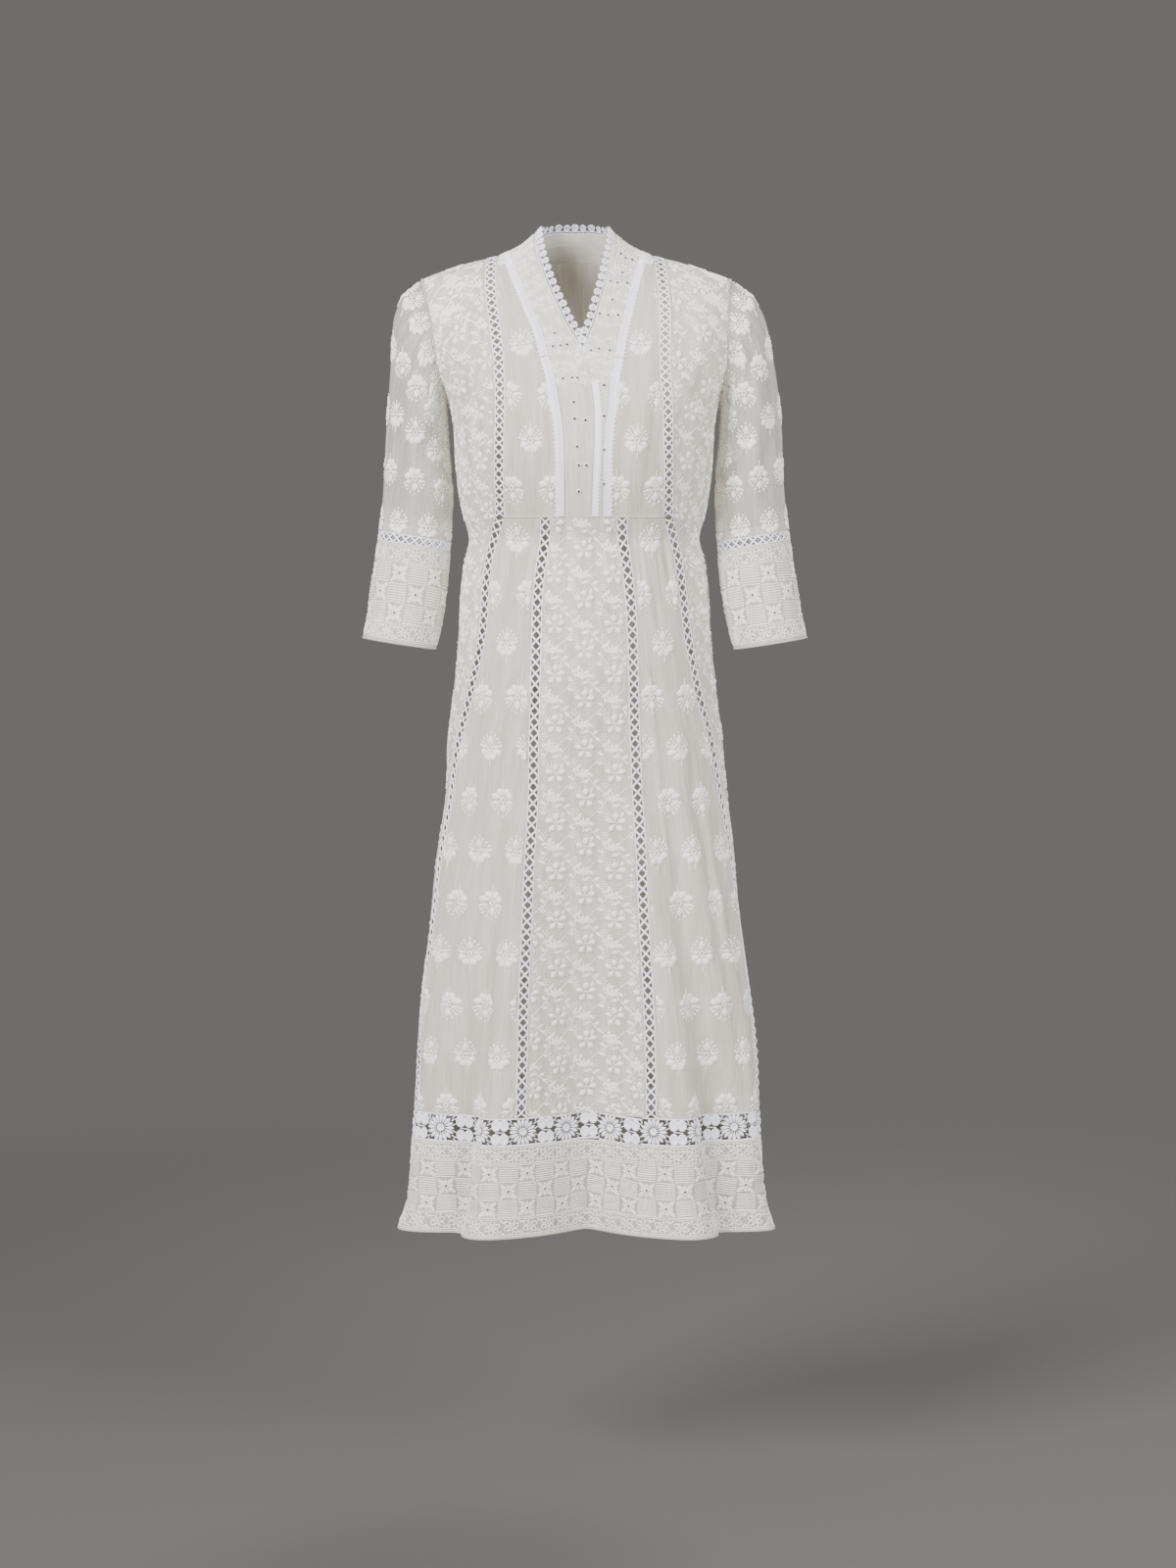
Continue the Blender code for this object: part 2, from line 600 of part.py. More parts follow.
def daisy_lace(name, start, stop):
    """One stretch of daisy lace. A repeat is a gap, a daisy, a gap and the ovals between two daisies."""
    fine = np.linspace(start, stop, 721)
    line = surface(fine, as_level(HEM_LACE_Z))
    length = np.append(0, np.cumsum(np.linalg.norm(np.diff(line, axis=0), axis=1)))
    repeats = int(round(length[-1] / DAISY_REPEAT))
    gap = DAISY_GAP[0] * repeats / length[-1]
    daisy = DAISY_SHARE * (1 - 2 * gap)
    marks = np.array([0, gap, gap + daisy, 2 * gap + daisy])
    stations = np.append((np.arange(repeats)[:, None] + marks[None, :]).ravel(), repeats) / repeats
    angle = np.interp(stations * length[-1], length, fine)
    outer, inner = grid_walls(*np.meshgrid(angle, as_level((HEM_LACE_Z, BORDER_Z))))
    inset_along, inset_across = DAISY_GAP_INSET
    across = inset_across + DAISY_GAP[1] / (HEM_LACE_Z - BORDER_Z)
    hole = ((inset_along, 1 - inset_along), (inset_across, across))
    pierced_strip(name, *outer, *inner, [hole, None] * (2 * repeats), "cotton_lace")


# ---------------------------------------------------------------- sleeves
def armhole_loop(armhole, side):
    """Points, normals and rim directions of an armhole: from the shoulder down the front and up the back."""
    rows = np.arange(UNDERARM_ROW + 1)
    front = side * armhole[rows]
    back = 180 - front[1:-1][::-1] if side > 0 else -180 - front[1:-1][::-1]
    angle = np.concatenate([front, back])
    level = np.concatenate([BODICE[rows], BODICE[rows][1:-1][::-1]])
    return surface(angle, level), outward(angle, level)


def ring_points(row, turn, side):
    """One ring of a sleeve and its normals: an ellipse between the ring's outer and inner points."""
    ring = dict(zip(RING_COLUMNS, np.array(row, float) * MM))
    top = np.array([ring["outer_x"], ring["middle_y"], ring["outer_z"]])
    low = np.array([ring["inner_x"], ring["middle_y"], ring["inner_z"]])
    if side < 0:
        top[0], low[0] = (2 * section(end[2], "centre_x") - end[0] for end in (top, low))
    middle, half = (top + low) / 2, (top - low) / 2
    size = np.linalg.norm(half)
    ahead = np.array([0, -1.0, 0])
    cosine, sine = np.cos(turn)[:, None], np.sin(turn)[:, None]
    points = middle + cosine * half + sine * ring["half_depth"] * ahead
    normal = cosine * half / size / size + sine * ahead / ring["half_depth"]
    axis = np.cross(half / size, ahead) * side
    return points, normal / np.linalg.norm(normal, axis=1, keepdims=True), axis


def rings_wall(name, outer, normals, material):
    """A cuff through its rings."""
    outer = np.array(outer)
    wall(name, outer, outer - CLOTH * np.array(normals), material, closed=True)


def sleeve_halves(name, outer, normals, material):
    """A sleeve through its rings, in a front and a back half that stop half a gap short of each other, so that
    each half's collision pieces follow its bend and leave the way in for the arm open."""
    outer, normals = (np.swapaxes(np.array(rings), 0, 1) for rings in (outer, normals))
    outer, normals = (np.concatenate([columns, columns[:1]]) for columns in (outer, normals))
    for half, first, last in (("front", 0, UNDERARM_ROW), ("back", UNDERARM_ROW, len(outer) - 1)):
        part, out = outer[first : last + 1].copy(), normals[first : last + 1]
        step = np.gradient(part, axis=0)
        step /= np.linalg.norm(step, axis=2, keepdims=True)
        part[0] += SEAM_GAP / 2 * step[0]
        part[-1] -= SEAM_GAP / 2 * step[-1]
        wall(f"{name}_{half}", np.swapaxes(part, 0, 1), np.swapaxes(part - CLOTH * out, 0, 1), material)


def sleeve_start(loop, normal, first_ring, side):
    """The sleeve's edge at the armhole, just off the panels' edge, and the directions that its wall faces there:
    halfway between the body's normal and the sleeve's own."""
    curve = np.roll(loop, -1, axis=0) - np.roll(loop, 1, axis=0)
    leaving = first_ring[0] - loop
    leaving -= curve * ((leaving * curve).sum(1) / (curve * curve).sum(1))[:, None]
    own = np.cross(curve, leaving)
    own *= np.sign((own * first_ring[1]).sum(1))[:, None]
    shared = normal + own / np.linalg.norm(own, axis=1, keepdims=True)
    shared /= np.linalg.norm(shared, axis=1, keepdims=True)
    rim = np.cross(curve, shared)
    rim *= side * np.sign(rim[:, :1]) / np.linalg.norm(rim, axis=1, keepdims=True)
    return loop + ARMHOLE_CLEARANCE * rim, shared


def sleeve(name, side, armhole):
    """Sheer sleeve, a ring of ladder lace and a corded cuff, half a gap back from the seams between them."""
    loop, normal = armhole_loop(armhole, side)
    middle_z = (loop[0, 2] + loop[UNDERARM_ROW, 2]) / 2
    half_height = (loop[0, 2] - loop[UNDERARM_ROW, 2]) / 2
    half_depth = np.abs(loop[:, 1]).max()
    turn = np.arctan2(-loop[:, 1] / half_depth, (loop[:, 2] - middle_z) / half_height) % (2 * math.pi)
    for part, rows in (("sleeve_", SLEEVE_RINGS), ("cuff_", CUFF_RINGS)):
        rings = [ring_points(row, turn, side) for row in rows]
        outer = [points for points, _, _ in rings]
        normals = [out for _, out, _ in rings]
        if part == "sleeve_":
            outer[-1] = outer[-1] - SEAM_GAP / 2 * rings[-1][2]
            start, shared = sleeve_start(loop, normal, rings[0], side)
            outer.insert(0, start)
            normals.insert(0, shared)
            sleeve_halves(part + name, outer, normals, "sheer_organza")
        else:
            outer[0] = outer[0] + SEAM_GAP / 2 * rings[0][2]
            rings_wall(part + name, outer, normals, "corded_border")
    for half, begin in (("front", 0.0), ("back", math.pi)):
        sleeve_lace(f"sleeve_insertion_{name}_{half}", begin, side)


def sleeve_lace(name, begin, side):
    """Half a ring of ladder lace between the sleeve and the cuff, from the turn where it begins."""
    half_depth = CUFF_RINGS[0][RING_COLUMNS.index("half_depth")] * MM
    count = int(math.pi * half_depth / INSERTION_PITCH)
    around = np.linspace(begin, begin + math.pi, count + 1)
    edges, behind = [], []
    for row, shift in ((SLEEVE_RINGS[-1], SEAM_GAP / 2), (CUFF_RINGS[0], -SEAM_GAP / 2)):
        points, out, axis = ring_points(row, around, side)
        points = points + shift * axis
        step = np.gradient(points, axis=0)
        step /= np.linalg.norm(step, axis=1, keepdims=True)
        points[0] += SEAM_GAP / 2 * step[0]
        points[-1] -= SEAM_GAP / 2 * step[-1]
        edges.append(points)
        behind.append(points - CLOTH * out)
    pierced_strip(name, *edges, *behind, [LADDER_GAP] * count, "cotton_lace")


# ---------------------------------------------------------------- the gown
def make_gown():
    band_seam = seam_on_bodice(BAND_SEAM)
    neck_edge = seam_on_bodice(NECK_EDGE)
    overlap = overlap_angles()
    armhole = armhole_angles()
    princess_left, princess_right = widened(seam_on_bodice(PRINCESS_SEAM), BODICE, INSERTION_WIDTH)
    side_line = seam_on_bodice(PRINCESS_SEAM)[-1] + seam_on_skirt(PRINCESS_TURN)
    side_left, side_right = widened(side_line, SKIRT, INSERTION_WIDTH)
    inner_left, inner_right = widened(seam_on_skirt(INNER_SEAM), SKIRT, INSERTION_WIDTH)

    neck_band(band_seam, neck_edge, overlap)
    band_laces(band_seam)
    both_sides("yoke_panel", BODICE, band_seam, princess_left, YOKE_COLUMNS, "embroidered_mul")
    ladder_insertions(princess_left, princess_right, side_left, side_right, inner_left, inner_right)

    whole = np.concatenate([BODICE[:-1], SKIRT])
    from_lace = np.concatenate([princess_right[:-1], side_right])
    side = seam_on_skirt(SIDE_SEAM)
    to_side = np.concatenate([armhole[:-1], side])
    both_sides("side_panel", whole, from_lace, to_side, SIDE_COLUMNS, "embroidered_mul")

    panel("skirt_middle", SKIRT, -inner_left, inner_left, MIDDLE_COLUMNS, "embroidered_mul")
    both_sides("skirt_panel", SKIRT, inner_right, side_left, SKIRT_COLUMNS, "embroidered_mul")

    back_bodice(neck_edge, band_seam, armhole)
    panel("back_skirt", SKIRT, side, 360 - side, BACK_COLUMNS, "embroidered_mul")
    hem_rings()
    sleeve("left", 1, armhole)
    sleeve("right", -1, armhole)


clear_scene()
GOWN = bpy.data.collections.new("anarkali_gown")
bpy.context.scene.collection.children.link(GOWN)
MATERIALS = make_materials()
make_gown()
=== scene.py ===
"""The look of a white anarkali gown in embroidered cotton, organza and cotton lace, hollow, as it is worn."""

import math

import bpy
import numpy as np
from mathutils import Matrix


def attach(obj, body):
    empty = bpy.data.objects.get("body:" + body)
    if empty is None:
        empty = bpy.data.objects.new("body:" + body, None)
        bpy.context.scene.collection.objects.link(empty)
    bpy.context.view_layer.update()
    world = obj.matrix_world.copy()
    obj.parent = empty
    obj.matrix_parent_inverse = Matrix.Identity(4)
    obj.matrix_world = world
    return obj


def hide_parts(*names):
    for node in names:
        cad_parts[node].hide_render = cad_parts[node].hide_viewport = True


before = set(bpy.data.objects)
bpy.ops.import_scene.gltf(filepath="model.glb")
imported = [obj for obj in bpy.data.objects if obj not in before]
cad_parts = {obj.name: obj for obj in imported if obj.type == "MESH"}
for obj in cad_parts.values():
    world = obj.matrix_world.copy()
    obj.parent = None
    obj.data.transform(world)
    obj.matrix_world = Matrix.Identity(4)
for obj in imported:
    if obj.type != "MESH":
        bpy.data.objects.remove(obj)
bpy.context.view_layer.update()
MM = 0.001

# ---------------- camera, floor and light
# A camera level with the gown's hip, a pale floor that fades out, a large soft light from the upper left, a
# weaker one from the right, one behind, and a plain grey surround.
CAMERA_PLACE = (0.005, -3.60, -0.389)
CAMERA_TILT = 4.2
LENS_MM = 66.6
SENSOR_MM = 36
FLOOR_Z = -1.534
FLOOR_REACH = 9
FLOOR_FADE = (1.7, 3.4)  # distances from the origin where the floor begins and ends to fade
LIGHTS = (
    # name, place, height aimed at, size in metres, power in watts
    ("key_light", (-2.6, -2.7, 1.4), -0.6, 1.9, 405),
    ("fill_light", (2.6, -2.4, 0.3), -0.6, 2.0, 180),
    ("rim_light", (1.4, 2.6, 1.2), -0.5, 1.6, 120),
)
SURROUND_STRENGTH = 0.62


def linear(hex_colour):
    """An sRGB hex value as linear red, green, blue and 1."""
    parts = [int(hex_colour[i : i + 2], 16) / 255 for i in (1, 3, 5)]
    return tuple(c / 12.92 if c <= 0.04045 else ((c + 0.055) / 1.055) ** 2.4 for c in parts) + (1.0,)


def add_node(material, kind, settings={}, inputs={}, links={}, to=None):
    """Adds a node with its settings, its input values and its links from other nodes' outputs. to names the
    shader's input that its first output goes to."""
    tree = material.node_tree
    node = tree.nodes.new("ShaderNode" + kind)
    for key, value in settings.items():
        setattr(node, key, value)
    for key, value in inputs.items():
        node.inputs[key].default_value = value
    for key, (other, output) in links.items():
        tree.links.new(other.outputs[output], node.inputs[key])
    if to:
        tree.links.new(node.outputs[0], tree.nodes["Principled BSDF"].inputs[to])
    return node


def finish_of(name, colour, slot=None, **values):
    """A new material with its shader's colour and other plain values."""
    material = bpy.data.materials.new(name)
    material.use_nodes = True
    sockets = material.node_tree.nodes["Principled BSDF"].inputs
    sockets["Base Color"].default_value = linear(colour)
    for key, value in values.items():
        sockets[key.replace("_", " ").title()].default_value = value
    return material


def put(name, data, place=(0, 0, 0), turn=(0, 0, 0)):
    """A new object in the scene."""
    thing = bpy.data.objects.new(name, data)
    thing.location, thing.rotation_euler = place, turn
    bpy.context.scene.collection.objects.link(thing)
    return thing


camera_data = bpy.data.cameras.new("camera")
camera_data.sensor_width, camera_data.lens = SENSOR_MM, LENS_MM
camera_turn = (math.radians(90 - CAMERA_TILT), 0, 0)
bpy.context.scene.camera = put("camera", camera_data, CAMERA_PLACE, camera_turn)

floor_mesh = bpy.data.meshes.new("floor")
floor_corners = [(FLOOR_REACH * x, FLOOR_REACH * y, FLOOR_Z) for x, y in ((-1, -1), (1, -1), (1, 1), (-1, 1))]
floor_mesh.from_pydata(floor_corners, [], [(0, 1, 2, 3)])
# Matt studio paint, plain under the gown and faded into the surround beyond it.
floor_paint = finish_of("pale_floor_paint", "#4C4A48", roughness=0.9)
where = add_node(floor_paint, "TexCoord")
away = add_node(floor_paint, "VectorMath", {"operation": "LENGTH"}, {}, {0: (where, "Object")})
faded = {"From Min": FLOOR_FADE[0], "From Max": FLOOR_FADE[1], "To Min": 1.0, "To Max": 0.0}
smoothly = {"interpolation_type": "SMOOTHERSTEP"}
add_node(floor_paint, "MapRange", smoothly, faded, {"Value": (away, "Value")}, "Alpha")
floor_mesh.materials.append(floor_paint)
put("floor", floor_mesh)
for light_name, place, aim_z, size, power in LIGHTS:
    light_data = bpy.data.lights.new(light_name, "AREA")
    light_data.size, light_data.energy = size, power
    way = np.subtract((0, 0, aim_z), place)
    lean = math.atan2(math.hypot(way[0], way[1]), -way[2])
    put(light_name, light_data, place, (lean, 0, math.atan2(way[1], way[0]) - math.pi / 2))
surround = bpy.data.worlds.new("grey_surround")
surround.use_nodes = True
sockets = surround.node_tree.nodes["Background"].inputs
sockets["Color"].default_value, sockets["Strength"].default_value = linear("#8A8986"), SURROUND_STRENGTH
bpy.context.scene.world = surround

# ---------------- cotton panels
# The yoke, the side panels that run from the armhole to the hem lace, the skirt's middle and side panels and
# the back: fine off-white cotton, cut in panels and seamed, which hangs in soft folds from the waist. Each
# panel is a stretch of one form, with the sizes that the frame's solids have, and finer creases of its own.
SIDES = (("left", 1), ("right", -1))
CHEST_Z = -0.130  # the shoulder's rounding ends here
ROOF_LENGTH = 0.150  # down a panel from the shoulder seam to the chest line
WAIST_Z = -0.324
UNDERARM_Z = -0.184
NECK_POINT_Z = -0.141
HEM_LACE_Z = -1.056
BORDER_Z = -1.090
HEM_Z = -1.205
CLOTH = 0.6 * MM  # thickness of a panel's cloth
BEHIND_CLOTH = -CLOTH - 0.2 * MM  # where a turned-in edge lies
BODY_COLUMNS = ("z", "half_width", "front", "back", "squareness", "centre_x")
BODY = (
    (70, 194, 72, 72, 3.0, -12), (-40, 194, 80, 82, 3.0, -9), (-100, 188, 94, 94, 3.0, -4),
    (-140, 181, 105, 99, 2.9, -2), (-184, 165, 116, 100, 2.7, 0), (-250, 158, 122, 96, 2.4, 0),
    (-290, 154.5, 115, 89, 2.3, 0), (-327, 147, 105, 83, 2.2, 0), (-350, 141.5, 99, 81, 2.1, 0),
    (-370, 146, 100, 85, 2.05, 0), (-400, 151, 103, 90, 2.0, 0), (-460, 155, 107, 99, 2.0, 1),
    (-515, 160, 110, 106, 2.0, 1), (-600, 171, 112, 115, 2.0, 1), (-670, 177, 113, 121, 2.0, 2),
    (-730, 186, 114, 126, 2.0, 2), (-823, 197, 115, 133, 2.0, 2), (-947.5, 212, 115, 142, 2.0, 3),
    (-1056, 218, 116, 148, 2.0, 3), (-1118, 223, 116, 152, 2.0, 3), (-1180, 229, 117, 156, 2.0, 3),
    (-1205, 237, 119, 160, 2.0, 3),
)
RIDGE = ((0, 62), (20, 55), (40, 34), (55, 18), (70, 7), (85, 0), (130, -12), (190, -32))
# The big folds: the angle at the waist and at the hem, half the width in degrees, the depth as a share of the
# section, the power of the bell, and the height where each one starts.
FOLDS = (
    (0, 0, 21, 0.64, 2.4, -0.52), (17, 53, 7.5, 0.13, 2, -0.40), (-19, -50, 7.5, 0.13, 2, -0.44),
    (30, 32, 8, -0.07, 2, -0.60), (-30, -31, 8, -0.07, 2, -0.62), (60, 66, 9, -0.06, 2, -0.55),
    (-58, -67, 9, -0.05, 2, -0.58), (84, 92, 8, 0.09, 2, -0.46), (-86, -94, 8, 0.10, 2, -0.50),
    (112, 118, 8, 0.14, 2, -0.44), (-110, -119, 9, 0.12, 2, -0.42), (138, 146, 8.5, 0.13, 2, -0.40),
    (-136, -145, 8, 0.14, 2, -0.46), (178, 181, 9, 0.15, 2, -0.42),
)
# Soft creases: the angle at the top and bottom end, half the width in degrees, the depth in millimetres (a
# minus is a ridge) and the heights between which each one runs.
CREASES = (
    (19, 17, 2.2, 1.3, -0.10, -0.30), (24, 22, 2.4, -1.2, -0.06, -0.31), (29, 27, 2.0, 1.4, -0.15, -0.33),
    (-20, -18, 2.4, 1.2, -0.09, -0.31), (-27, -24, 2.6, -1.3, -0.12, -0.32), (50, 44, 3.5, 1.8, -0.12, -0.26),
    (63, 55, 3.2, -1.6, -0.16, -0.30), (74, 66, 3.0, 2.0, -0.19, -0.33), (-52, -45, 3.4, 1.7, -0.13, -0.27),
    (-66, -58, 3.2, 1.9, -0.17, -0.31), (24, 27, 1.4, 1.6, -0.322, -0.43), (28, 31, 1.3, -1.5, -0.322, -0.45),
    (32, 36, 1.5, 1.8, -0.322, -0.48), (37, 41, 1.4, -1.3, -0.322, -0.42), (41, 46, 1.5, 1.6, -0.322, -0.46),
    (-23, -26, 1.5, 1.4, -0.322, -0.46), (-28, -32, 1.4, -1.4, -0.322, -0.43),
    (-34, -38, 1.5, 1.7, -0.322, -0.47), (-41, -46, 1.4, 1.3, -0.322, -0.42), (6, 5, 1.6, 1.2, -0.322, -0.44),
    (-8, -9, 1.8, 1.3, -0.322, -0.50), (58, 66, 3.0, 2.4, -0.34, -0.46), (70, 78, 3.2, -2.2, -0.35, -0.50),
    (-60, -70, 3.4, 2.5, -0.35, -0.48), (30, 43, 2.6, 2.2, -0.44, -0.92), (38, 55, 2.8, -2.4, -0.50, -1.02),
    (47, 63, 2.2, 2.3, -0.56, -1.10), (56, 73, 2.6, 2.0, -0.62, -1.15), (66, 80, 2.4, -1.8, -0.70, -1.14),
    (-31, -42, 2.6, 2.1, -0.48, -0.94), (-39, -54, 2.7, -2.2, -0.52, -1.00),
    (-50, -64, 2.4, 2.4, -0.60, -1.12), (-60, -75, 2.6, 1.9, -0.64, -1.15), (12, 17, 2.2, 1.8, -0.50, -1.05),
    (-13, -18, 2.3, 1.7, -0.54, -1.05),
)
# More creases, placed by seeded chance: how many in each stretch of angles where they start, then their half
# widths, depths and top heights, how long they are in metres, and how far they lean out as a share of their
# angle per metre.
SCATTERED = (
    (9, ((105, 255),), (3.0, 5.0), (-1.6, 1.8), (-0.18, -0.06), 0.15, -0.1),
    (26, ((98, 262),), (1.8, 3.2), (-2.2, 2.4), (-0.75, -0.36), 0.40, 0.3),
    (15, ((23, 50), (-50, -23)), (0.8, 1.3), (-1.1, 1.2), (-0.326, -0.320), 0.11, 0.6),
    (8, ((-18, 18),), (0.8, 1.3), (-1.0, 1.0), (-0.326, -0.320), 0.09, 0.2),
    (16, ((27, 78), (-78, -27)), (0.9, 1.8), (-1.7, 1.8), (-0.76, -0.42), 0.30, 0.7),
    (8, ((-20, 20),), (1.0, 2.0), (-1.4, 1.5), (-0.80, -0.45), 0.28, 0.3),
    (9, ((17, 44), (-44, -17)), (1.4, 2.8), (-1.3, 1.4), (-0.22, -0.06), 0.15, -0.1),
    (9, ((76, 100), (-100, -76)), (1.4, 3.0), (-2.4, 2.4), (-0.62, -0.33), 0.22, 0.5),
    (10, ((88, 272),), (1.6, 2.8), (-1.2, 1.3), (-0.326, -0.320), 0.14, 0.2),
)
# Creases that run across the border: height, half height, depth in millimetres, how often each one wanders up
# and down in a turn round the gown, and where it starts to.
CROSS_CREASES = (
    (-1.128, 0.0030, 0.9, 5, 0.4), (-1.151, 0.0035, 1.3, 4, 2.1), (-1.173, 0.0030, 1.5, 6, 4.0),
    (-1.190, 0.0025, -0.8, 7, 1.2),
)
CROSS_WANDER = 5 * MM
MEAN_REACH = 0.13  # from the middle of a section out to its cloth, which makes a crease's depth a share of it


def smooth(at, xs, ys):
    """A cubic curve through the points (xs, ys), read at the values at; flat beyond its ends."""
    order = np.argsort(xs)
    xs, ys = np.asarray(xs, float)[order], np.asarray(ys, float)[order]
    at = np.clip(at, xs[0], xs[-1])
    slopes = np.gradient(ys, xs)
    left = np.clip(np.searchsorted(xs, at, side="right") - 1, 0, len(xs) - 2)
    span, rise = xs[left + 1] - xs[left], ys[left + 1] - ys[left]
    t = (at - xs[left]) / span
    bend = slopes[left] * (1 - t) - slopes[left + 1] * t
    return ys[left] + rise * t * t * (3 - 2 * t) + span * t * (1 - t) * bend


def section(z, name):
    """A size of the body's section at height z, in metres, or its squareness."""
    heights, sizes = (np.array([row[BODY_COLUMNS.index(k)] for row in BODY], float) for k in ("z", name))
    return smooth(z, heights * MM, sizes) * (1 if name == "squareness" else MM)


def away_from(angle, middle):
    """The angle from a middle one, the short way round."""
    return (angle - middle + 180) % 360 - 180


def folds(angle, z):
    """How far the folds draw a section in, as a share of it: each is a bell across its angle that slants down
    the skirt and deepens from where it starts."""
    depth, down = 0.0, np.clip((WAIST_Z - z) / (WAIST_Z - HEM_Z), 0, 1)
    for at_waist, at_hem, half_width, share, power, start_z in FOLDS:
        away = np.abs(away_from(angle, at_waist + (at_hem - at_waist) * down))
        grown = np.clip((start_z - z) / (start_z - HEM_Z), 0, 1)
        depth = depth + share * grown * np.exp(-((away / half_width) ** power))
    return depth


def creases(angle, z):
    """How far the soft creases draw the cloth in, in metres: each is a bell across its angle that fades in
    and out between its ends. The ones across the border are bells across a height that wanders."""
    chance, rows, drawn = np.random.default_rng(11), list(CREASES), 0.0
    for count, spans, widths, depths, tops, length, lean in SCATTERED:
        for span in [span for span in spans for _ in range(count)]:
            start, top = chance.uniform(*span), chance.uniform(*tops)
            stop = start + ((start + 90) % 180 - 90) * lean * length
            rows.append((start, stop, chance.uniform(*widths), chance.uniform(*depths), top, top - length))
    for at_top, at_bottom, half_width, depth, top_z, bottom_z in rows:
        t = (top_z - z) / (top_z - bottom_z)
        away = away_from(angle, at_top + (at_bottom - at_top) * np.clip(t, 0, 1))
        fade = np.sin(np.pi * np.clip(t, 0, 1)) ** 0.6 * (t > 0) * (t < 1)
        drawn = drawn + depth * MM * fade * np.exp(-((away / half_width) ** 2))
    for height, half, depth, often, first in CROSS_CREASES:
        wander, swell = (np.sin(np.radians(angle) * k + t) for k, t in ((often, first), (often + 2, 0)))
        away = (z - height - CROSS_WANDER * wander) / half
        drawn = drawn + depth * MM * (0.55 + 0.45 * swell) * np.exp(-(away**2))
    ripple = 0.35 * np.sin(angle * 0.31 + z * 9) * np.sin(angle * 0.17 - z * 17)
    return drawn + (ripple + 0.25 * np.sin(z * 41 + angle * 0.11)) * MM


def as_down(z):
    """The distance down a panel from the shoulder seam to a height under the chest line."""
    return ROOF_LENGTH + CHEST_Z - np.asarray(z, float)


def gown_surface(angle, down):
    """The body's points. Below the chest a section is a superellipse drawn in by folds and creases; above it
    the section's depth shrinks by a quarter turn, which ends on the shoulder seam."""
    sine, cosine = np.sin(np.radians(angle)), np.cos(np.radians(angle))
    turn = np.radians(90 * np.clip(down / ROOF_LENGTH, 0, 1))
    z = below = CHEST_Z - np.maximum(down - ROOF_LENGTH, 0)
    across_at, heights = np.array(RIDGE).T * MM
    for _ in range(8):
        power = section(z, "squareness")
        reach = (np.abs(sine) ** power + np.abs(cosine) ** power) ** (-1 / power)
        across = section(z, "half_width") * reach * sine
        ridge = smooth(np.abs(across), across_at, heights)
        z = np.where(down < ROOF_LENGTH, CHEST_Z + (ridge - CHEST_Z) * np.cos(turn), below)
    depth = np.where(cosine > 0, section(z, "front"), section(z, "back"))
    drawn = 1 - folds(angle, z) - creases(angle, z) / MEAN_REACH * np.sin(turn)
    x = section(z, "centre_x") + across * drawn
    return np.stack([x, -depth * reach * cosine * np.sin(turn) * drawn, z], axis=-1)


def unit(vectors):
    """Vectors divided by their own lengths."""
    return vectors / np.maximum(np.linalg.norm(vectors, axis=-1, keepdims=True), 1e-9)


class Form:
    """A surface kept as a grid of points over two coordinates, read between its points by straight lines.
    facing is 1 where the second coordinate's way crossed with the first's points outwards, and -1 where it
    points inwards, so that patterns are laid the right way round from outside."""

    def __init__(self, us, vs, points, facing=1):
        """Slopes are differences between neighbours, and the way out is their cross product."""
        self.us, self.vs, self.facing = us, vs, facing
        along_v, along_u = np.gradient(points, vs, us, axis=(0, 1))
        sizes = [np.linalg.norm(along, axis=-1, keepdims=True) for along in (along_u, along_v)]
        lean = (along_u * along_v).sum(-1, keepdims=True) / np.maximum(sizes[0] * sizes[1], 1e-12)
        normal = unit(np.cross(along_v, along_u) * facing)
        self.values = np.concatenate([points, normal, *sizes, lean], axis=-1)

    def read(self, u, v):
        """The point, the way out, metres per step of each coordinate and the cosine between their ways."""
        u, v = np.broadcast_arrays(np.asarray(u, float), np.asarray(v, float))
        a = np.clip((u - self.us[0]) / (self.us[1] - self.us[0]), 0, len(self.us) - 1.001)
        b = np.clip((v - self.vs[0]) / (self.vs[1] - self.vs[0]), 0, len(self.vs) - 1.001)
        i, j = a.astype(int), b.astype(int)
        a, b = (a - i)[..., None], (b - j)[..., None]
        low, high = (self.values[k, i] * (1 - a) + self.values[k, i + 1] * a for k in (j, j + 1))
        return low * (1 - b) + high * b

    def at(self, u, v, lift=0.0):
        """The point, moved out from the surface by the lift."""
        found = self.read(u, v)
        return found[..., :3] + found[..., 3:6] * np.asarray(lift)[..., None]

    def stretch(self, u, v):
        """Metres per step of each coordinate, kept above nothing."""
        return np.moveaxis(np.maximum(self.read(u, v)[..., 6:8], 1e-6), -1, 0)

    def lean(self, u, v):
        """The cosine between the two coordinates' ways, kept well away from 1."""
        return np.clip(self.read(u, v)[..., 8], -0.9, 0.9)


# The body's form has a point every half degree and every 2 mm.
body_us = np.arange(-184, 364.1, 0.5)
body_vs = np.arange(0, as_down(HEM_Z) + 0.0021, 0.002)
body = Form(body_us, body_vs, gown_surface(*np.meshgrid(body_us, body_vs)))


def seam_angle(table, down):
    """The angle where a seam lies, from its distance across at each height in millimetres."""
    heights, across = np.array(table, float).T * MM
    angle = np.full(np.shape(down), 30.0)
    for _ in range(25):
        z = body.at(angle, down)[..., 2]
        power = section(z, "squareness")
        share = np.clip(smooth(z, heights, across) / section(z, "half_width"), 0.0, 0.9999) ** power
        angle = np.degrees(np.arctan((share / (1 - share)) ** (1 / power)))
    return angle


def widened(angle, down, width):
    """The angles half a width before and after a seam."""
    half = width / 2 / body.stretch(angle, down)[0]
    return angle - half, angle + half


RIM_ANGLE = 60  # degrees between faces, past which an edge stays sharp
carried = {}  # the pieces that are sewn on each sheet


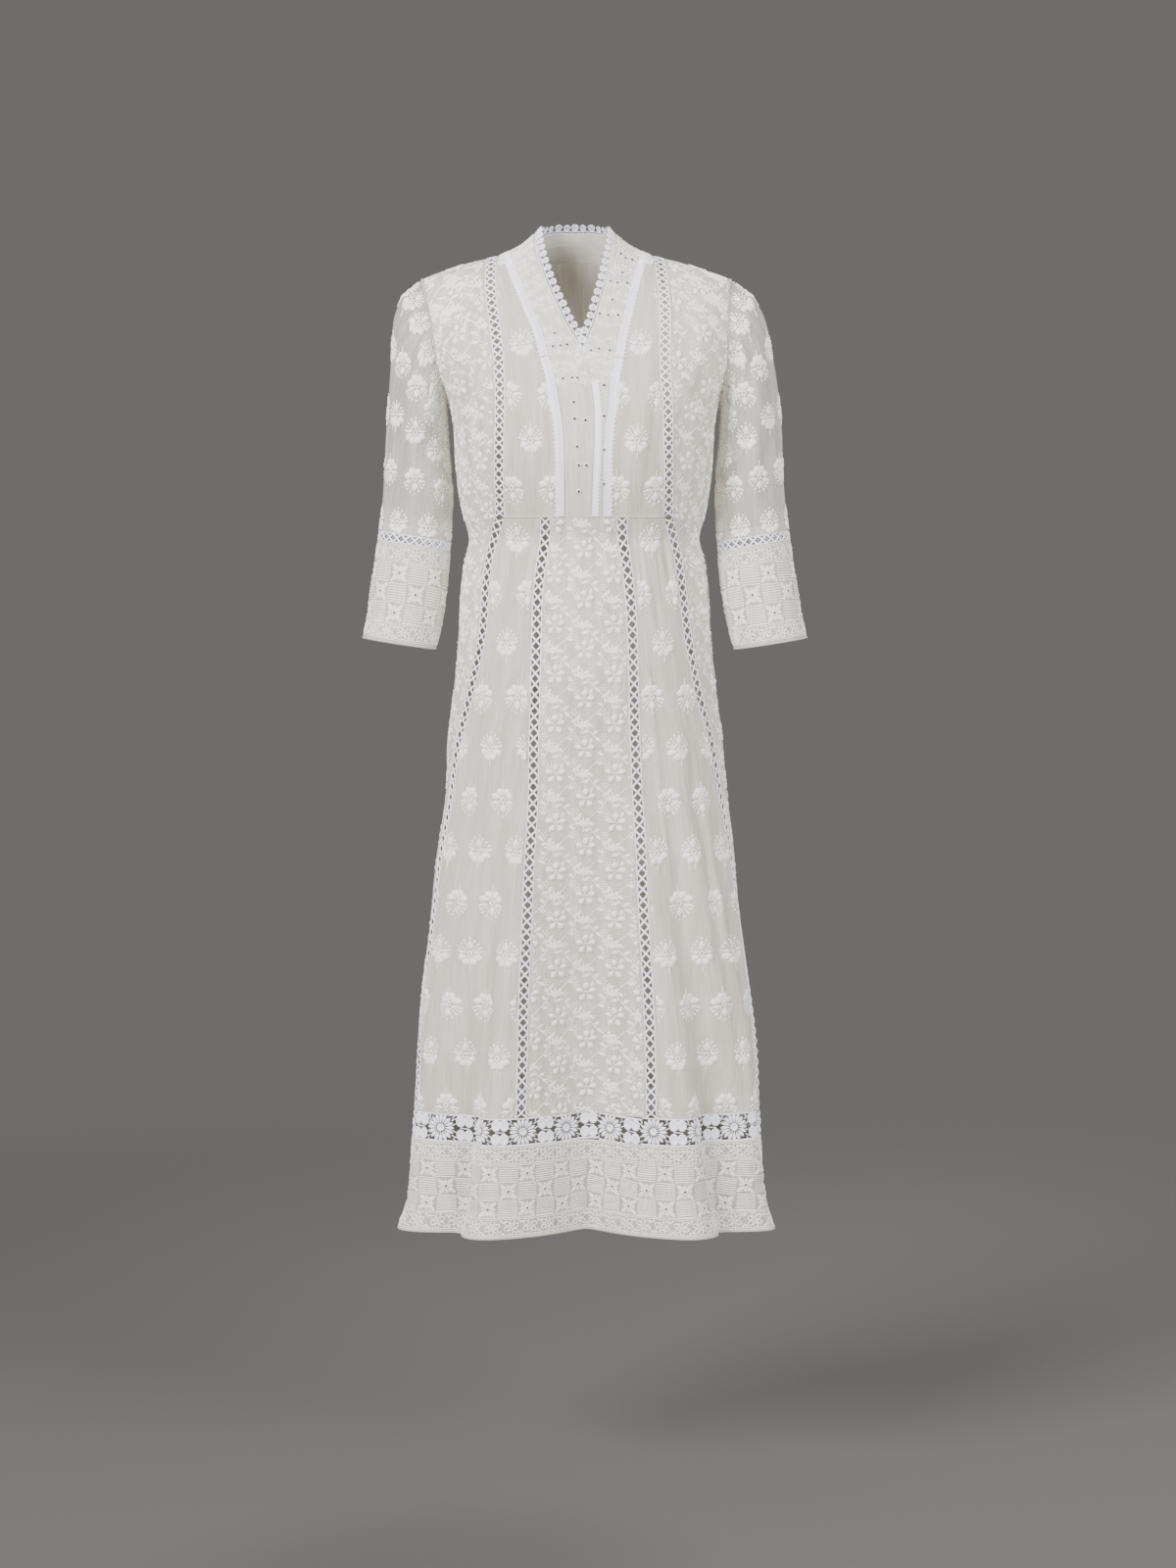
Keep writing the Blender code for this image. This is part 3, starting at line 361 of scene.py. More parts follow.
def piece_of(name, points, faces, material, on=None, nodes=(), uv=None):
    """A smooth mesh object from arrays of points and faces, riding on the gown. on names the sheet that it is
    sewn on, and nodes are the frame's nodes that it stands for."""
    mesh = bpy.data.meshes.new(name)
    mesh.from_pydata(points.astype(np.float32), [], faces, shade_flat=False)
    if uv is not None:
        layer = mesh.uv_layers.new(name="cloth_metres")
        layer.data.foreach_set("uv", uv[faces.ravel()].astype(np.float32).ravel())
    mesh.validate()
    if uv is not None:
        mesh.set_sharp_from_angle(angle=math.radians(RIM_ANGLE))
    mesh.materials.append(material)
    piece = put(name, mesh)
    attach(piece, "root")
    if nodes:
        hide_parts(*nodes)
    if on:
        carried.setdefault(on, []).append(piece)
    return piece


def grid_quads(index):
    """The four corners of each square in a grid of points' numbers."""
    return np.stack([index[:-1, :-1], index[1:, :-1], index[1:, 1:], index[:-1, 1:]], -1).reshape(-1, 4)


def run_of(points, axis=0):
    """The length along a line of points, or along each line of a grid, up to each point."""
    steps = np.linalg.norm(np.diff(points, axis=axis), axis=-1)
    return np.insert(np.cumsum(steps, axis=axis), 0, 0, axis=axis)


def sheet_of(name, form, u, v, material, nodes=(), lift=0.0, closed=False, on=None):
    """A cloth shell on a grid of a form's coordinates: its outer face at the lift, its inner one a thickness
    behind, and rims between them. A closed one goes all round, like a sleeve. Where it is a turned edge of
    another sheet, on names that one."""
    outer, inner, cols = form.at(u, v, lift), form.at(u, v, lift - CLOTH), u.shape[1]
    index = np.arange(u.size).reshape(u.shape)
    rims = [np.concatenate([index[0, :-1], index[:-1, -1], index[-1, :0:-1], index[::-1, 0]])]
    if closed:
        index = np.hstack([index, index[:, :1]])
        rims = [index[0], index[-1, ::-1]]
    faces = [grid_quads(index), grid_quads(index[:, ::-1] + u.size)]
    faces += [grid_quads(np.stack([rim + u.size, rim])) for rim in rims]
    run, fall = run_of(outer, 1), run_of(outer)
    run -= run[:, cols // 2][:, None]
    uv = np.tile(np.stack([run, fall], -1).reshape(-1, 2), (2, 1))
    points, faces = np.stack([outer, inner]).reshape(-1, 3), np.concatenate(faces)[:, :: form.facing]
    piece = piece_of(name, points, faces, material, on, nodes, uv)


GRAIN = 3.8 * MM  # from one point of a panel to the next


def between(left, right, downs):
    """A grid of angles and downs between two seams, with points about a grain apart."""
    widest = (body.stretch(left, downs)[0] * (right - left)).max()
    share = np.linspace(0, 1, max(int(widest / GRAIN), 2) + 1)[None, :]
    angle = left[:, None] + (right - left)[:, None] * share
    return angle, np.broadcast_to(downs[:, None], angle.shape)


def downs_between(top, bottom):
    """Evenly spaced downs, about a grain apart."""
    return np.linspace(top, bottom, int((bottom - top) / GRAIN) + 1)


def tinted(material, pattern, low, high, span=(0.14, 0.36)):
    """Runs the base colour from one hex colour to another with a pattern, a node and its output's name."""
    ramp = add_node(material, "ValToRGB", links={"Fac": pattern}, to="Base Color").color_ramp
    for end, position, colour in zip(ramp.elements, span, (low, high)):
        end.position, end.color = position, linear(colour)


def woven(material, thread, strength, crumple, *tint):
    """A plain weave's bump: two crossed waves on the cloth's own metres, slubs from a stretched noise and,
    under them, the long soft crinkles of washed cloth. Where two hex colours are given, the slubs times the
    crinkles tint it from one to the other: the slubs' tone is the cloth's own, and the tint that darkens the
    crinkles' hollows is painted shade. thread is the distance between threads; a wave texture repeats every
    pi/10 of its own units."""
    patterns, where = [], {"Vector": (add_node(material, "UVMap", {"uv_map": "cloth_metres"}), "UV")}
    wave_sizes = {"Scale": math.pi / 10 / thread, "Distortion": 1.5, "Detail": 1.0}
    for way in "XY":
        patterns.append((add_node(material, "TexWave", {"bands_direction": way}, wave_sizes, where), "Fac"))
    for scale, detail in (((420.0, 22.0, 1.0), 3.0), ((62.0, 6.0, 1.0), 4.0)):
        drawn_out = {"Vector": (add_node(material, "Mapping", {}, {"Scale": scale}, where), "Vector")}
        noise = add_node(material, "TexNoise", {}, {"Scale": 1.0, "Detail": detail}, drawn_out)
        patterns.append((noise, "Fac"))
    warp, weft, slub, crinkle = patterns
    weave = add_node(material, "Math", {"operation": "ADD"}, {}, {0: warp, 1: weft})
    threads = add_node(material, "Math", {"operation": "ADD"}, {}, {0: (weave, "Value"), 1: slub})
    soft = add_node(material, "Bump", {}, {"Strength": crumple, "Distance": 2.2 * MM}, {"Height": crinkle})
    relief = {"Height": (threads, "Value"), "Normal": (soft, "Normal")}
    add_node(material, "Bump", {}, {"Strength": strength, "Distance": 0.25 * MM}, relief, "Normal")
    streaks = add_node(material, "Math", {"operation": "MULTIPLY"}, {}, {0: slub, 1: crinkle})
    if tint:
        tinted(material, (streaks, "Value"), *tint)
    return streaks


# Mulmul: thin plain-woven cotton, matt and a little see-through, with slubs and soft crinkles down the cloth.
# Its streaked tint is partly the slubs' own tone and partly painted shade in the crinkles' hollows.
# Its alpha counts on both faces of the shell, so about a tenth shows through.
mulmul = finish_of(
    "woven_cotton_mulmul", "#DCD9D3", "embroidered_mul", roughness=0.88, alpha=0.70, sheen_weight=0.25,
    sheen_roughness=0.5, subsurface_weight=0.3, subsurface_radius=(1.0, 1.0, 1.0), subsurface_scale=1.5 * MM,
)
woven(mulmul, 0.9 * MM, 0.35, 0.55, "#CDC6B9", "#E6E1D6")

# Seams of the bodice: height and distance across in millimetres.
BAND_SEAM = (
    (60, 90), (0, 85.5), (-30, 76), (-55, 67.5), (-80, 59.5), (-105, 51.5), (-130, 46), (-150, 41),
    (-190, 35), (-230, 30), (-280, 29), (-324, 28.7),
)
PRINCESS_SEAM = (
    (0, 102.5), (-67, 104.5), (-100, 102), (-136, 100), (-200, 101.5), (-270, 102.5), (-324, 102),
)
ARMHOLE = ((-30, 190), (-50, 185), (-80, 181), (-120, 178), (-150, 174), (-170, 169), (-184, 164.9))
NECK_EDGE = ((50, 50), (0, 47.5), (-45, 35.8), (-73, 25.4), (-104, 14.2), (-130, 5.4), (-400, 5.4))
# Seams of the skirt: height and angle. The princess seam's angles are added to where it meets the waist.
INNER_SEAM = ((-0.324, 18.0), (-0.40, 21.0), (-0.60, 22.0), (-0.80, 23.0), (-1.056, 24.0))
PRINCESS_TURN = (
    (-0.324, 0.0), (-0.345, 6.0), (-0.40, 10.0), (-0.47, 12.0), (-0.533, 17.0), (-0.606, 24.0), (-0.70, 29.0),
    (-0.90, 32.0), (-1.056, 34.0),
)
SIDE_SEAM = ((-0.324, 90.0), (-0.60, 94.0), (-1.056, 102.0), (-1.3, 102.0))
INSERTION_WIDTH = 13.5 * MM


def on_skirt(table, downs):
    """A seam's angle on the skirt, from its table of heights and degrees."""
    return smooth(as_down(downs), *zip(*table))


waist_down, lace_down = float(as_down(WAIST_Z)), float(as_down(HEM_LACE_Z))
underarm_down = float(as_down(UNDERARM_Z))
bodice_downs = downs_between(0, waist_down)
skirt_downs = downs_between(waist_down, lace_down)
whole_downs = np.concatenate([bodice_downs[:-1], skirt_downs])
band_seam, princess_seam, neck_edge, armhole_line = (
    seam_angle(table, bodice_downs) for table in (BAND_SEAM, PRINCESS_SEAM, NECK_EDGE, ARMHOLE)
)
armhole_line[bodice_downs > underarm_down - 6 * MM] = 90.0
princess_turn = princess_seam[-1] + on_skirt(PRINCESS_TURN, skirt_downs)
inner_seam, side_seam = on_skirt(INNER_SEAM, skirt_downs), on_skirt(SIDE_SEAM, skirt_downs)
to_princess, past_princess = widened(princess_seam, bodice_downs, INSERTION_WIDTH)
to_turn, past_turn = widened(princess_turn, skirt_downs, INSERTION_WIDTH)
to_inner, past_inner = widened(inner_seam, skirt_downs, INSERTION_WIDTH)
HALVES = (
    ("yoke_panel", (band_seam, to_princess), bodice_downs),
    (
        "side_panel",
        (np.append(past_princess[:-1], past_turn), np.append(armhole_line[:-1], side_seam)),
        whole_downs,
    ),
    ("skirt_panel", (past_inner, to_turn), skirt_downs),
)
# The turned-in edges, 8 mm wide beside the laces and 15 mm above the hem lace, show through as paler strips.
SEAM_TURNING = 8 * MM
HEM_TURNING = 15 * MM
hem_strip = downs_between(lace_down - HEM_TURNING, lace_down)

panels = {}  # each panel's two edges and their downs
turnings = []
for side_name, side in SIDES:
    for place, edges, downs in HALVES:
        name = f"{place}_{side_name}"
        panels[name] = (*sorted((side * edges[0], side * edges[1]), key=np.mean), downs)
        for k in range(place == "yoke_panel", 2):  # the band covers the yoke's first edge
            lines = side * edges[k], side * widened(edges[k], downs, 2 * SEAM_TURNING)[1 - k]
            turnings.append((f"{name}_turning_{k}", *sorted(lines, key=np.mean), downs, name))
panels["skirt_middle"] = (-to_inner, to_inner, skirt_downs)
panels["back_skirt"] = (side_seam, 360 - side_seam, skirt_downs)
for name, (start, stop, downs) in panels.items():
    sheet_of(f"{name}_cloth", body, *between(start, stop, downs), mulmul, [name])
    if downs[-1] == lace_down:
        start, stop = (np.interp(hem_strip, downs, line) for line in (start, stop))
        turnings.append((f"{name}_hem_turning", start, stop, hem_strip, name))
for name, start, stop, downs, panel in turnings:
    sheet_of(name, body, *between(start, stop, downs), mulmul, lift=BEHIND_CLOTH, on=f"{panel}_cloth")

# The back of the bodice reaches from armhole to armhole and its top dips under the neck's band.
BACK_NECK_LEVEL = 0.62
BACK_BAND_LEVEL = 0.45


def back_neck(degrees, share):
    """Angle and down of the back band: quarter turns from one shoulder seam down to the centre back and up to
    the other, from the neck's edge at share 0 to the band's outer seam at 1."""
    reach = neck_edge[0] + (band_seam[0] - neck_edge[0]) * share
    low = BACK_NECK_LEVEL + (BACK_BAND_LEVEL - BACK_NECK_LEVEL) * share
    level = low + (1 - low) * (1 - np.cos(np.radians(degrees)))
    return 180 - reach * np.sin(np.radians(degrees)), (1 - level) * ROOF_LENGTH


left_line = 180 - armhole_line
neck_angles, neck_downs = back_neck(np.linspace(90, -90, 41), 1.0)
shoulder = np.linspace(left_line[0], neck_angles[0], 24)[:-1]
top_angle = np.concatenate([shoulder, neck_angles, 360 - shoulder[::-1]])
top_down = np.pad(neck_downs, 23)
across_share = (top_angle - left_line[0]) / (360 - 2 * left_line[0])
back_angle = left_line[:, None] + (360 - 2 * left_line)[:, None] * across_share
back_down = bodice_downs[:, None] + top_down * np.maximum(1 - bodice_downs[:, None] / ROOF_LENGTH, 0)
sheet_of("back_bodice_cloth", body, back_angle, back_down, mulmul, ["back_bodice"])
panels["back_bodice"] = (left_line, 360 - left_line, bodice_downs)


def roll(name, form, us, vs, width, height, material, on):
    """A rounded roll of cloth or cord along a line on a form, sized in millimetres: six rows of points,
    highest in the middle, which meet at both ends."""
    base = form.read(us, vs)
    points, normal = base[..., :3], base[..., 3:6]
    size = np.pad(np.ones((len(points) - 2, 1)), ((1, 1), (0, 0)))
    wide = unit(np.cross(np.gradient(points, axis=0), normal)) * size * width * MM / 2
    high = normal * size * height * MM
    shape = ((-1, 0.0), (-0.6, 0.8), (0, 1.0), (0.6, 0.8), (1, 0.0), (0, -0.3))
    rows = np.vstack([points + wide * across + high * tall for across, tall in shape])
    index = np.arange(len(rows)).reshape(len(shape), -1)
    piece_of(name, rows, grid_quads(np.vstack([index, index[:1]])), material, on)


# Felled seams stand up as narrow rolls at the waist, the armholes and the sides.
rolls = [("waist_roll_back", np.linspace(90, 270, 120), waist_down, 2.6, 0.9, "back_bodice_cloth")]
open_rows = bodice_downs < underarm_down
for side_name, side in SIDES:
    yoke_run = np.linspace(side * band_seam[-1], side * to_princess[-1], 60)
    for place, us, vs, width, height, panel in (
        ("waist", yoke_run, waist_down, 2.6, 0.9, "yoke_panel"),
        ("armhole", side * armhole_line[open_rows], bodice_downs[open_rows], 2.4, 0.8, "side_panel"),
        ("side", side * side_seam, skirt_downs, 2.2, 0.5, "side_panel"),
    ):
        rolls.append((f"{place}_roll_{side_name}", us, vs, width, height, f"{panel}_{side_name}_cloth"))
for name, us, vs, width, height, on in rolls:
    roll(name, body, us, vs, width, height, mulmul, on)


# ---------------- ladder lace insertions
# Cotton ladder lace let in between the panels: crossed bars between two rails, so that a row of open diamonds
# runs down the seam. Each bar is two threads side by side, raised along their middles.
YOKE_LADDER_PITCH = 10.8 * MM
SKIRT_LADDER_PITCH = 13.2 * MM
SLEEVE_LADDER_PITCH = 11.4 * MM
BAR_THREAD = 1.1  # millimetres across, as are all sizes of motifs
RAIL_WIDTH = 1.3
THREAD_HEIGHT = 0.55


def spun(name, colour, slot, roughness, sheen, kind, settings, sizes, relief, low, high, span):
    """A thread's finish: a pattern on the gown's own metres raises its strands and tints them, darker where
    the
    pattern is low: painted shade in the grooves between the strands. relief is the bump's strength and its
    distance in millimetres."""
    material = finish_of(name, colour, slot, roughness=roughness, sheen_weight=sheen)
    where = add_node(material, "TexCoord")
    strands = add_node(material, kind, settings, sizes, {"Vector": (where, "Object")})
    bump_sizes = {"Strength": relief[0], "Distance": relief[1] * MM}
    add_node(material, "Bump", {}, bump_sizes, {"Height": (strands, "Fac")}, "Normal")
    tinted(material, (strands, "Fac"), low, high, span)
    return material


# Bobbin lace: mercerised cotton, brighter and cooler than the cloth, with twisted threads that give it a
# grain; the tint that darkens the grain's hollows is painted shade.
lace_cotton = spun(
    "mercerised_lace_cotton", "#F4F3FB", "cotton_lace", 0.7, 0.2, "TexNoise", {},
    {"Scale": 900.0, "Detail": 2.0}, (0.5, 0.3), "#E9E7F4", "#FCFBFF", (0.35, 0.65),
)


def polar(reach, degrees, x=0.0, y=0.0):
    """The point or points a reach away from (x, y) at an angle."""
    angle = np.radians(degrees)
    return np.stack([x + reach * np.cos(angle), y + reach * np.sin(angle)], -1)


def raised(outline, height):
    """A flat outline's points, all at one height."""
    return np.column_stack([outline, np.full(len(outline), height)])


def stroke(path, width, height=THREAD_HEIGHT, foot=0.0):
    """A thread along a path in millimetres: three rows of points, the middle one raised, in triangles."""
    path = np.asarray(path, float)
    aside = unit(np.gradient(path, axis=0)) @ ((0, width / 2), (-width / 2, 0))
    rows = [raised(path + aside * k, h) for k, h in ((-1, foot), (0, height), (1, foot))]
    quads = grid_quads(np.arange(3 * len(path)).reshape(3, -1))
    return np.vstack(rows), np.vstack([quads[:, [3, 1, 0]], quads[:, [3, 2, 1]]])


def ring(x, y, radius, width, count=14, height=THREAD_HEIGHT):
    """A closed loop of thread round a point, in millimetres."""
    return stroke(polar(radius, np.linspace(0, 360, count + 1), x, y), width, height)


def dome(edge, middle, levels):
    """A raised shape inside an outline: rings of points that shrink towards its middle by each level's share
    and stand at that level's height; the last level is the middle itself."""
    rings = [raised(middle + (edge - middle) * share, tall) for share, tall in levels[:-1]]
    index = np.arange(len(rings) * len(edge)).reshape(len(rings), -1)
    tips = np.stack([index[-1], np.roll(index[-1], -1), np.full(len(edge), index.size)], 1)
    quads = grid_quads(np.hstack([index, index[:, :1]]))
    faces = np.vstack([tips, quads[:, [0, 3, 2]], quads[:, [0, 2, 1]]])
    return np.vstack([*rings, [[*middle, levels[-1][1]]]]), faces


def leaf(x, y, length, width, direction, height=0.8, count=10, blunt=0.0, satin=False):
    """A padded petal or leaf from its foot at a point. Its half width goes as the sine of the way along it,
    and blunt moves the widest place towards the tip. A satin one stands up at its edge and dips in its
    middle."""
    t = np.linspace(0, 1, count // 2 + 1)
    half = width / 2 * np.sin(np.pi * t ** (1 + blunt))
    ahead, aside = np.append(t, t[-2:0:-1]) * length, np.append(half, -half[-2:0:-1])
    c, s = polar(1, direction)
    edge = np.column_stack([x + ahead * c - aside * s, y + ahead * s + aside * c])
    levels = ((1, 0), (0.76, height), (0, 0.7 * height)) if satin else ((1, 0), (0, height))
    return dome(edge, polar(0.58 * length, direction, x, y), levels)


def dot(x, y, radius, height=0.8, count=7):
    """A small raised knot."""
    return dome(polar(radius, np.arange(count) * 360 / count, x, y), np.array((x, y)), ((1, 0), (0, height)))


def together(shapes):
    """Several shapes as one: all their points and triangles."""
    bases = np.cumsum([0] + [len(points) for points, _ in shapes])
    faces = [shape_faces + base for (_, shape_faces), base in zip(shapes, bases)]
    return np.vstack([points for points, _ in shapes]), np.vstack(faces)


def spots_of(u, v, turn=0, wide=1, tall=1):
    """Spots for a motif, a row each: where it goes, its turn in degrees and its size across and down."""
    return np.stack([np.ravel(part) for part in np.broadcast_arrays(u, v, turn, wide, tall)], 1).astype(float)


def down_line(form, start, stop, pitch, u=0.0, turn=0):
    """Spots a pitch apart by length down a form, with the repeats drawn out or in so that they meet."""
    fine = np.linspace(start, stop, 400)
    run = run_of(form.at(u, fine))
    count = round(float(run[-1] / pitch))
    step = run[-1] / count
    return spots_of(u, np.interp((np.arange(count) + 0.5) * step, run, fine), turn, 1, step / pitch)


def sewn(name, form, motif, spots, material, on, nodes=(), inside=None, lift=0.0):
    """Lays a motif, drawn in millimetres, on a form at each spot: (u, v, turn in degrees, width, height). The
    motif's points go by the form's own stretch and lean, so it keeps its size and stands square to the second
    coordinate's way, and triangles outside are left off."""
    points, faces = motif
    u0, v0, turn, wide, tall = np.asarray(spots, float).T[:, :, None]
    x, y = points[None, :, 0] * wide * MM, points[None, :, 1] * tall * MM
    c, s = np.cos(np.radians(turn)), np.sin(np.radians(turn))
    size_u, size_v = form.stretch(u0, v0)
    lean = form.lean(u0, v0)
    across = form.facing * (x * c - y * s) / np.sqrt(1 - lean**2)
    u = u0 + across / size_u
    v = v0 - (x * s + y * c + across * lean) / size_v
    placed = form.at(u, v, lift + points[None, :, 2] * MM).reshape(-1, 3)
    all_faces = (faces + (np.arange(len(spots)) * len(points))[:, None, None]).reshape(-1, 3)
    if inside is not None:
        all_faces = all_faces[inside(u, v).ravel()[all_faces].all(1)]
    used, renumbered = np.unique(all_faces, return_inverse=True)
    piece_of(name, placed[used], renumbered.reshape(-1, 3), material, on, nodes)


def strip_form(base, us, vs, half_width):
    """A form along a line on another: across it in metres, and down it as the base is."""
    across = np.linspace(-half_width, half_width, 13)
    angle = us[:, None] + across / base.stretch(us, vs)[0][:, None]
    return Form(across, np.linspace(vs[0], vs[-1], len(vs)), base.at(angle, vs[:, None]))


def ladder(pitch, width=INSERTION_WIDTH / MM):
    """One repeat of ladder lace: two crossed bars of two threads each, and the rails beside them."""
    half, tall = width / 2 - RAIL_WIDTH / 2, pitch / MM / 2
    shapes = []
    for lean, height in ((1, 0.8), (-1, 1.0)):
        for k in (-0.52, 0.52):
            aside = k * BAR_THREAD * math.hypot(half, tall) / half
            ends = [(-half * lean, -tall + aside), (0, aside), (half * lean, tall + aside)]
            shapes.append(stroke(ends, BAR_THREAD, height, height - 0.5))
    shapes += [stroke([(x, -tall), (x, 0), (x, tall)], RAIL_WIDTH, 0.8) for x in (-half, half)]
    return together(shapes)


for side_name, side in SIDES:
    for place, line, downs, pitch, cloth in (
        ("yoke", princess_seam, bodice_downs, YOKE_LADDER_PITCH, f"yoke_panel_{side_name}"),
        ("skirt", inner_seam, skirt_downs, SKIRT_LADDER_PITCH, "skirt_middle"),
        ("side", princess_turn, skirt_downs, SKIRT_LADDER_PITCH, f"skirt_panel_{side_name}"),
    ):
        form = strip_form(body, side * line, downs, INSERTION_WIDTH * 0.7)
        spots = down_line(form, downs[0], downs[-1], pitch)
        node = f"{place}_insertion_{side_name}"
        ladder_name = f"{place}_ladder_{side_name}"
        sewn(ladder_name, form, ladder(pitch), spots, lace_cotton, f"{cloth}_cloth", [node], lift=-0.2 * MM)

# ---------------- neck band
# A shaped band of cream thread embroidery round the V neck and down to the waist, with small dark beads. It
# meets its other half under a placket that laps on the wearer's left.
OVERLAP_LINE = ((-90, 3), (-130, 4), (-141, 5), (-163, 8.5), (-330, 8.5))
EMBROIDERED_TO_Z = -0.165
SPRAYS_ACROSS = 9.5 * MM
SPRAYS_DOWN = 10.5 * MM
NECK_CLOSES_Z = -0.112  # from here down to its point the V's two edges draw together
BEADS = (
    # across and height of each bead in millimetres, first on the wearer's left front, then on the right
    (44, -6), (50, -11), (58, -13), (32, -41), (40, -43), (52, -43), (19, -81), (29, -83), (41, -83),
    (8.5, -126), (18, -124), (31, -126), (46, -30), (34, -64), (24, -168), (24, -205), (24, -245), (24, -285),
    (-35, -105), (-37, -121), (-28, -120), (-20, -119), (-25, -160), (-14, -159), (-8, -159), (-12, -188),
    (-11, -208), (2, -210), (-8, -241), (-6, -263), (3, -263), (-6, -294),
)
overlap = seam_angle(OVERLAP_LINE, bodice_downs)
closing = np.clip((bodice_downs - as_down(NECK_CLOSES_Z)) / (NECK_CLOSES_Z - NECK_POINT_Z), 0, 1)
left_inner = neck_edge + (overlap - neck_edge) * closing
right_inner = -neck_edge + (overlap + neck_edge) * closing

# The band's own cloth is a thicker plain weave with slub streaks, tinted darker than its thread: partly its
# own cream and partly painted shade between the stitches.
band_cotton = finish_of("plain_band_cotton", "#E8E5DE", "beaded_band", roughness=0.85, sheen_weight=0.3)
woven(band_cotton, 1.2 * MM, 0.6, 0.2, "#C5C0B5", "#DBD7CE")

FLOSS_STRAND = 1.6 * MM  # drawn at about twice the real strand, so that it shows
# Embroidery floss: stranded cotton laid in satin stitch, so each petal has fine ridges and a soft shine; the
# tint that darkens the grooves between the ridges is painted shade.
strand_sizes = {"Scale": math.pi / 10 / FLOSS_STRAND, "Distortion": 4.0, "Detail": 2.0, "Detail Scale": 2.0}
aslant = {"bands_direction": "DIAGONAL"}
# The band's and the border's own thread is a warmer cream.
floss, cream_floss, border_floss = (
    spun(name, "#FBFAF7", slot, 0.55, 0.35, "TexWave", aslant, strand_sizes, (0.9, 0.4), *tint)
    for name, slot, *tint in (
        ("stranded_cotton_floss", "embroidered_mul", "#F6F2E9", "#FFFEF7", (0.2, 0.75)),
        ("cream_cotton_floss", "beaded_band", "#ECE8DE", "#FAF8F1", (0.2, 0.75)),
        ("border_cotton_floss", "corded_border", "#ECE8DE", "#FAF8F1", (0.2, 0.75)),
    )
)
# Glass beads lined in dark silver.
bead_glass = finish_of("silver_lined_bead_glass", "#6E6C70", "beaded_band", roughness=0.25, metallic=0.8)

round_neck = [grid.T for grid in back_neck(np.linspace(-90, 90, 49), np.linspace(0, 1, 10)[:, None])]
for side_name, grid in (
    ("left", between(left_inner, band_seam, bodice_downs)),
    ("right", between(-band_seam, right_inner, bodice_downs)),
    ("back", round_neck),
):
    sheet_of(f"neck_band_{side_name}_cloth", body, *grid, band_cotton, [f"neck_band_{side_name}"])

leaf_spray = together(
    [leaf(0, 0, 7.4, 2.7, angle, 1.6, 8) for angle in (42, 90, 138)]
    + [leaf(0, -0.5, 6.0, 2.4, angle, 1.5, 8) for angle in (-12, 192)]
    + [stroke([(0, -6), (0.7, -3), (0, 0)], 1.2, 1.2)]
    + [
        dot(x, y, 1.1, 1.4, 5)
        for x, y in ((0, 9.2), (-4.4, 8), (4.4, 8), (-3.2, -4.2), (3.6, -4.6), (-6.4, 4.6), (6.6, 4.2))
    ]
)
chance = np.random.default_rng(5)
for side_name, inner, outer in (("left", left_inner, band_seam), ("right", right_inner, -band_seam)):
    sprays = []
    for n, down_row in enumerate(np.arange(4 * MM, float(as_down(EMBROIDERED_TO_Z)), SPRAYS_DOWN)):
        low, high = np.interp(down_row, bodice_downs, inner), np.interp(down_row, bodice_downs, outer)
        room = abs(high - low) * body.stretch((low + high) / 2, down_row)[0]
        count = max(int(room / SPRAYS_ACROSS), 1)
        for k in range(count):
            share = (k + 0.5 + 0.25 * (n % 2)) / (count + 0.3)
            size = chance.uniform(0.72, 0.95)
            place = down_row + chance.uniform(-2, 2) * MM
            sprays.append((low + (high - low) * share, place, chance.uniform(-180, 180), size, size))

    def on_band(u, v, lines=sorted((inner, outer), key=np.mean)):
        """Whether points lie inside both edges of the band and under the shoulder seam."""
        low, high = (np.interp(v, bodice_downs, line) for line in lines)
        return (u - low > 0.3) & (high - u > 0.3) & (v > 0.001)

    cloth = f"neck_band_{side_name}_cloth"
    sewn(f"band_sprays_{side_name}", body, leaf_spray, sprays, cream_floss, cloth, inside=on_band)

star_petals = [leaf(0, 0, 4.6, 1.7, angle, 0.7, 6) for angle in range(0, 360, 45)]
star = together([*star_petals, ring(0, 0, 1.5, 0.8, 10, 1.0)])
bead = together([ring(0, 0, 1.2, 1.1, 9, 1.5), dot(0, 0, 0.8, 1.2, 8)])
# Where each bead lies, stepped towards its distance across and its height.
across, height = np.array(BEADS, float).T * MM
angle, down = np.zeros(len(BEADS)), np.maximum(as_down(height), 0.02)
for _ in range(30):
    place = body.at(angle, down)
    angle = angle + (across - place[..., 0]) / body.stretch(angle, down)[0] * 0.8
    down = np.clip(down + (place[..., 2] - height) * 0.9, 0.001, 1.2)
bead_spots = spots_of(angle, down)
sewn("band_beads", body, bead, bead_spots, bead_glass, "neck_band_left_cloth", lift=0.8 * MM)
sewn("band_stars", body, star, bead_spots, cream_floss, "neck_band_left_cloth", lift=0.4 * MM)

# ---------------- neck edging, band lace and placket lace
# Scalloped cotton edging stands in from the neck's edge; lace of ladder and scallops covers the seam of the
# band, and a narrower strip runs down the placket's lapping edge.
SCALLOP_PITCH = 10.8
EDGING_WIDTH = 12 * MM
BAND_LACE_WIDTH = 11.5
BAND_LACE_FOOT = 5.5 * MM  # from the seam to the lace's foot
PLACKET_LACE = 9.0  # its width and its repeat
PLACKET_TOP_Z = -0.163


def close_lace(pitch, width):
    """One repeat of close-worked lace, from its foot at 0 across: a rail, a dense herringbone of short
    threads, a second rail and a pair of small solid scallops."""
    half, inner = pitch / 2, width * 0.62
    shapes = [stroke([(x, -half), (x, half)], 1.3, 0.9, 0.1) for x in (0.6, inner)]
    for y in np.arange(-half, half - 0.1, pitch / 8):
        shapes.append(stroke([(0.6, y), (inner / 2, y + 1.1), (inner, y)], 1.15, 0.75, 0.15))
    for y in (-half / 2, half / 2):
        foot = (inner - 0.4, y, width - inner, pitch / 2.4)
        shapes += [leaf(*foot, angle, 0.9, 8, 0.4) for angle in (-38, 0, 38)] + [dot(width, y, 0.9, 0.7, 6)]
    return together(shapes)


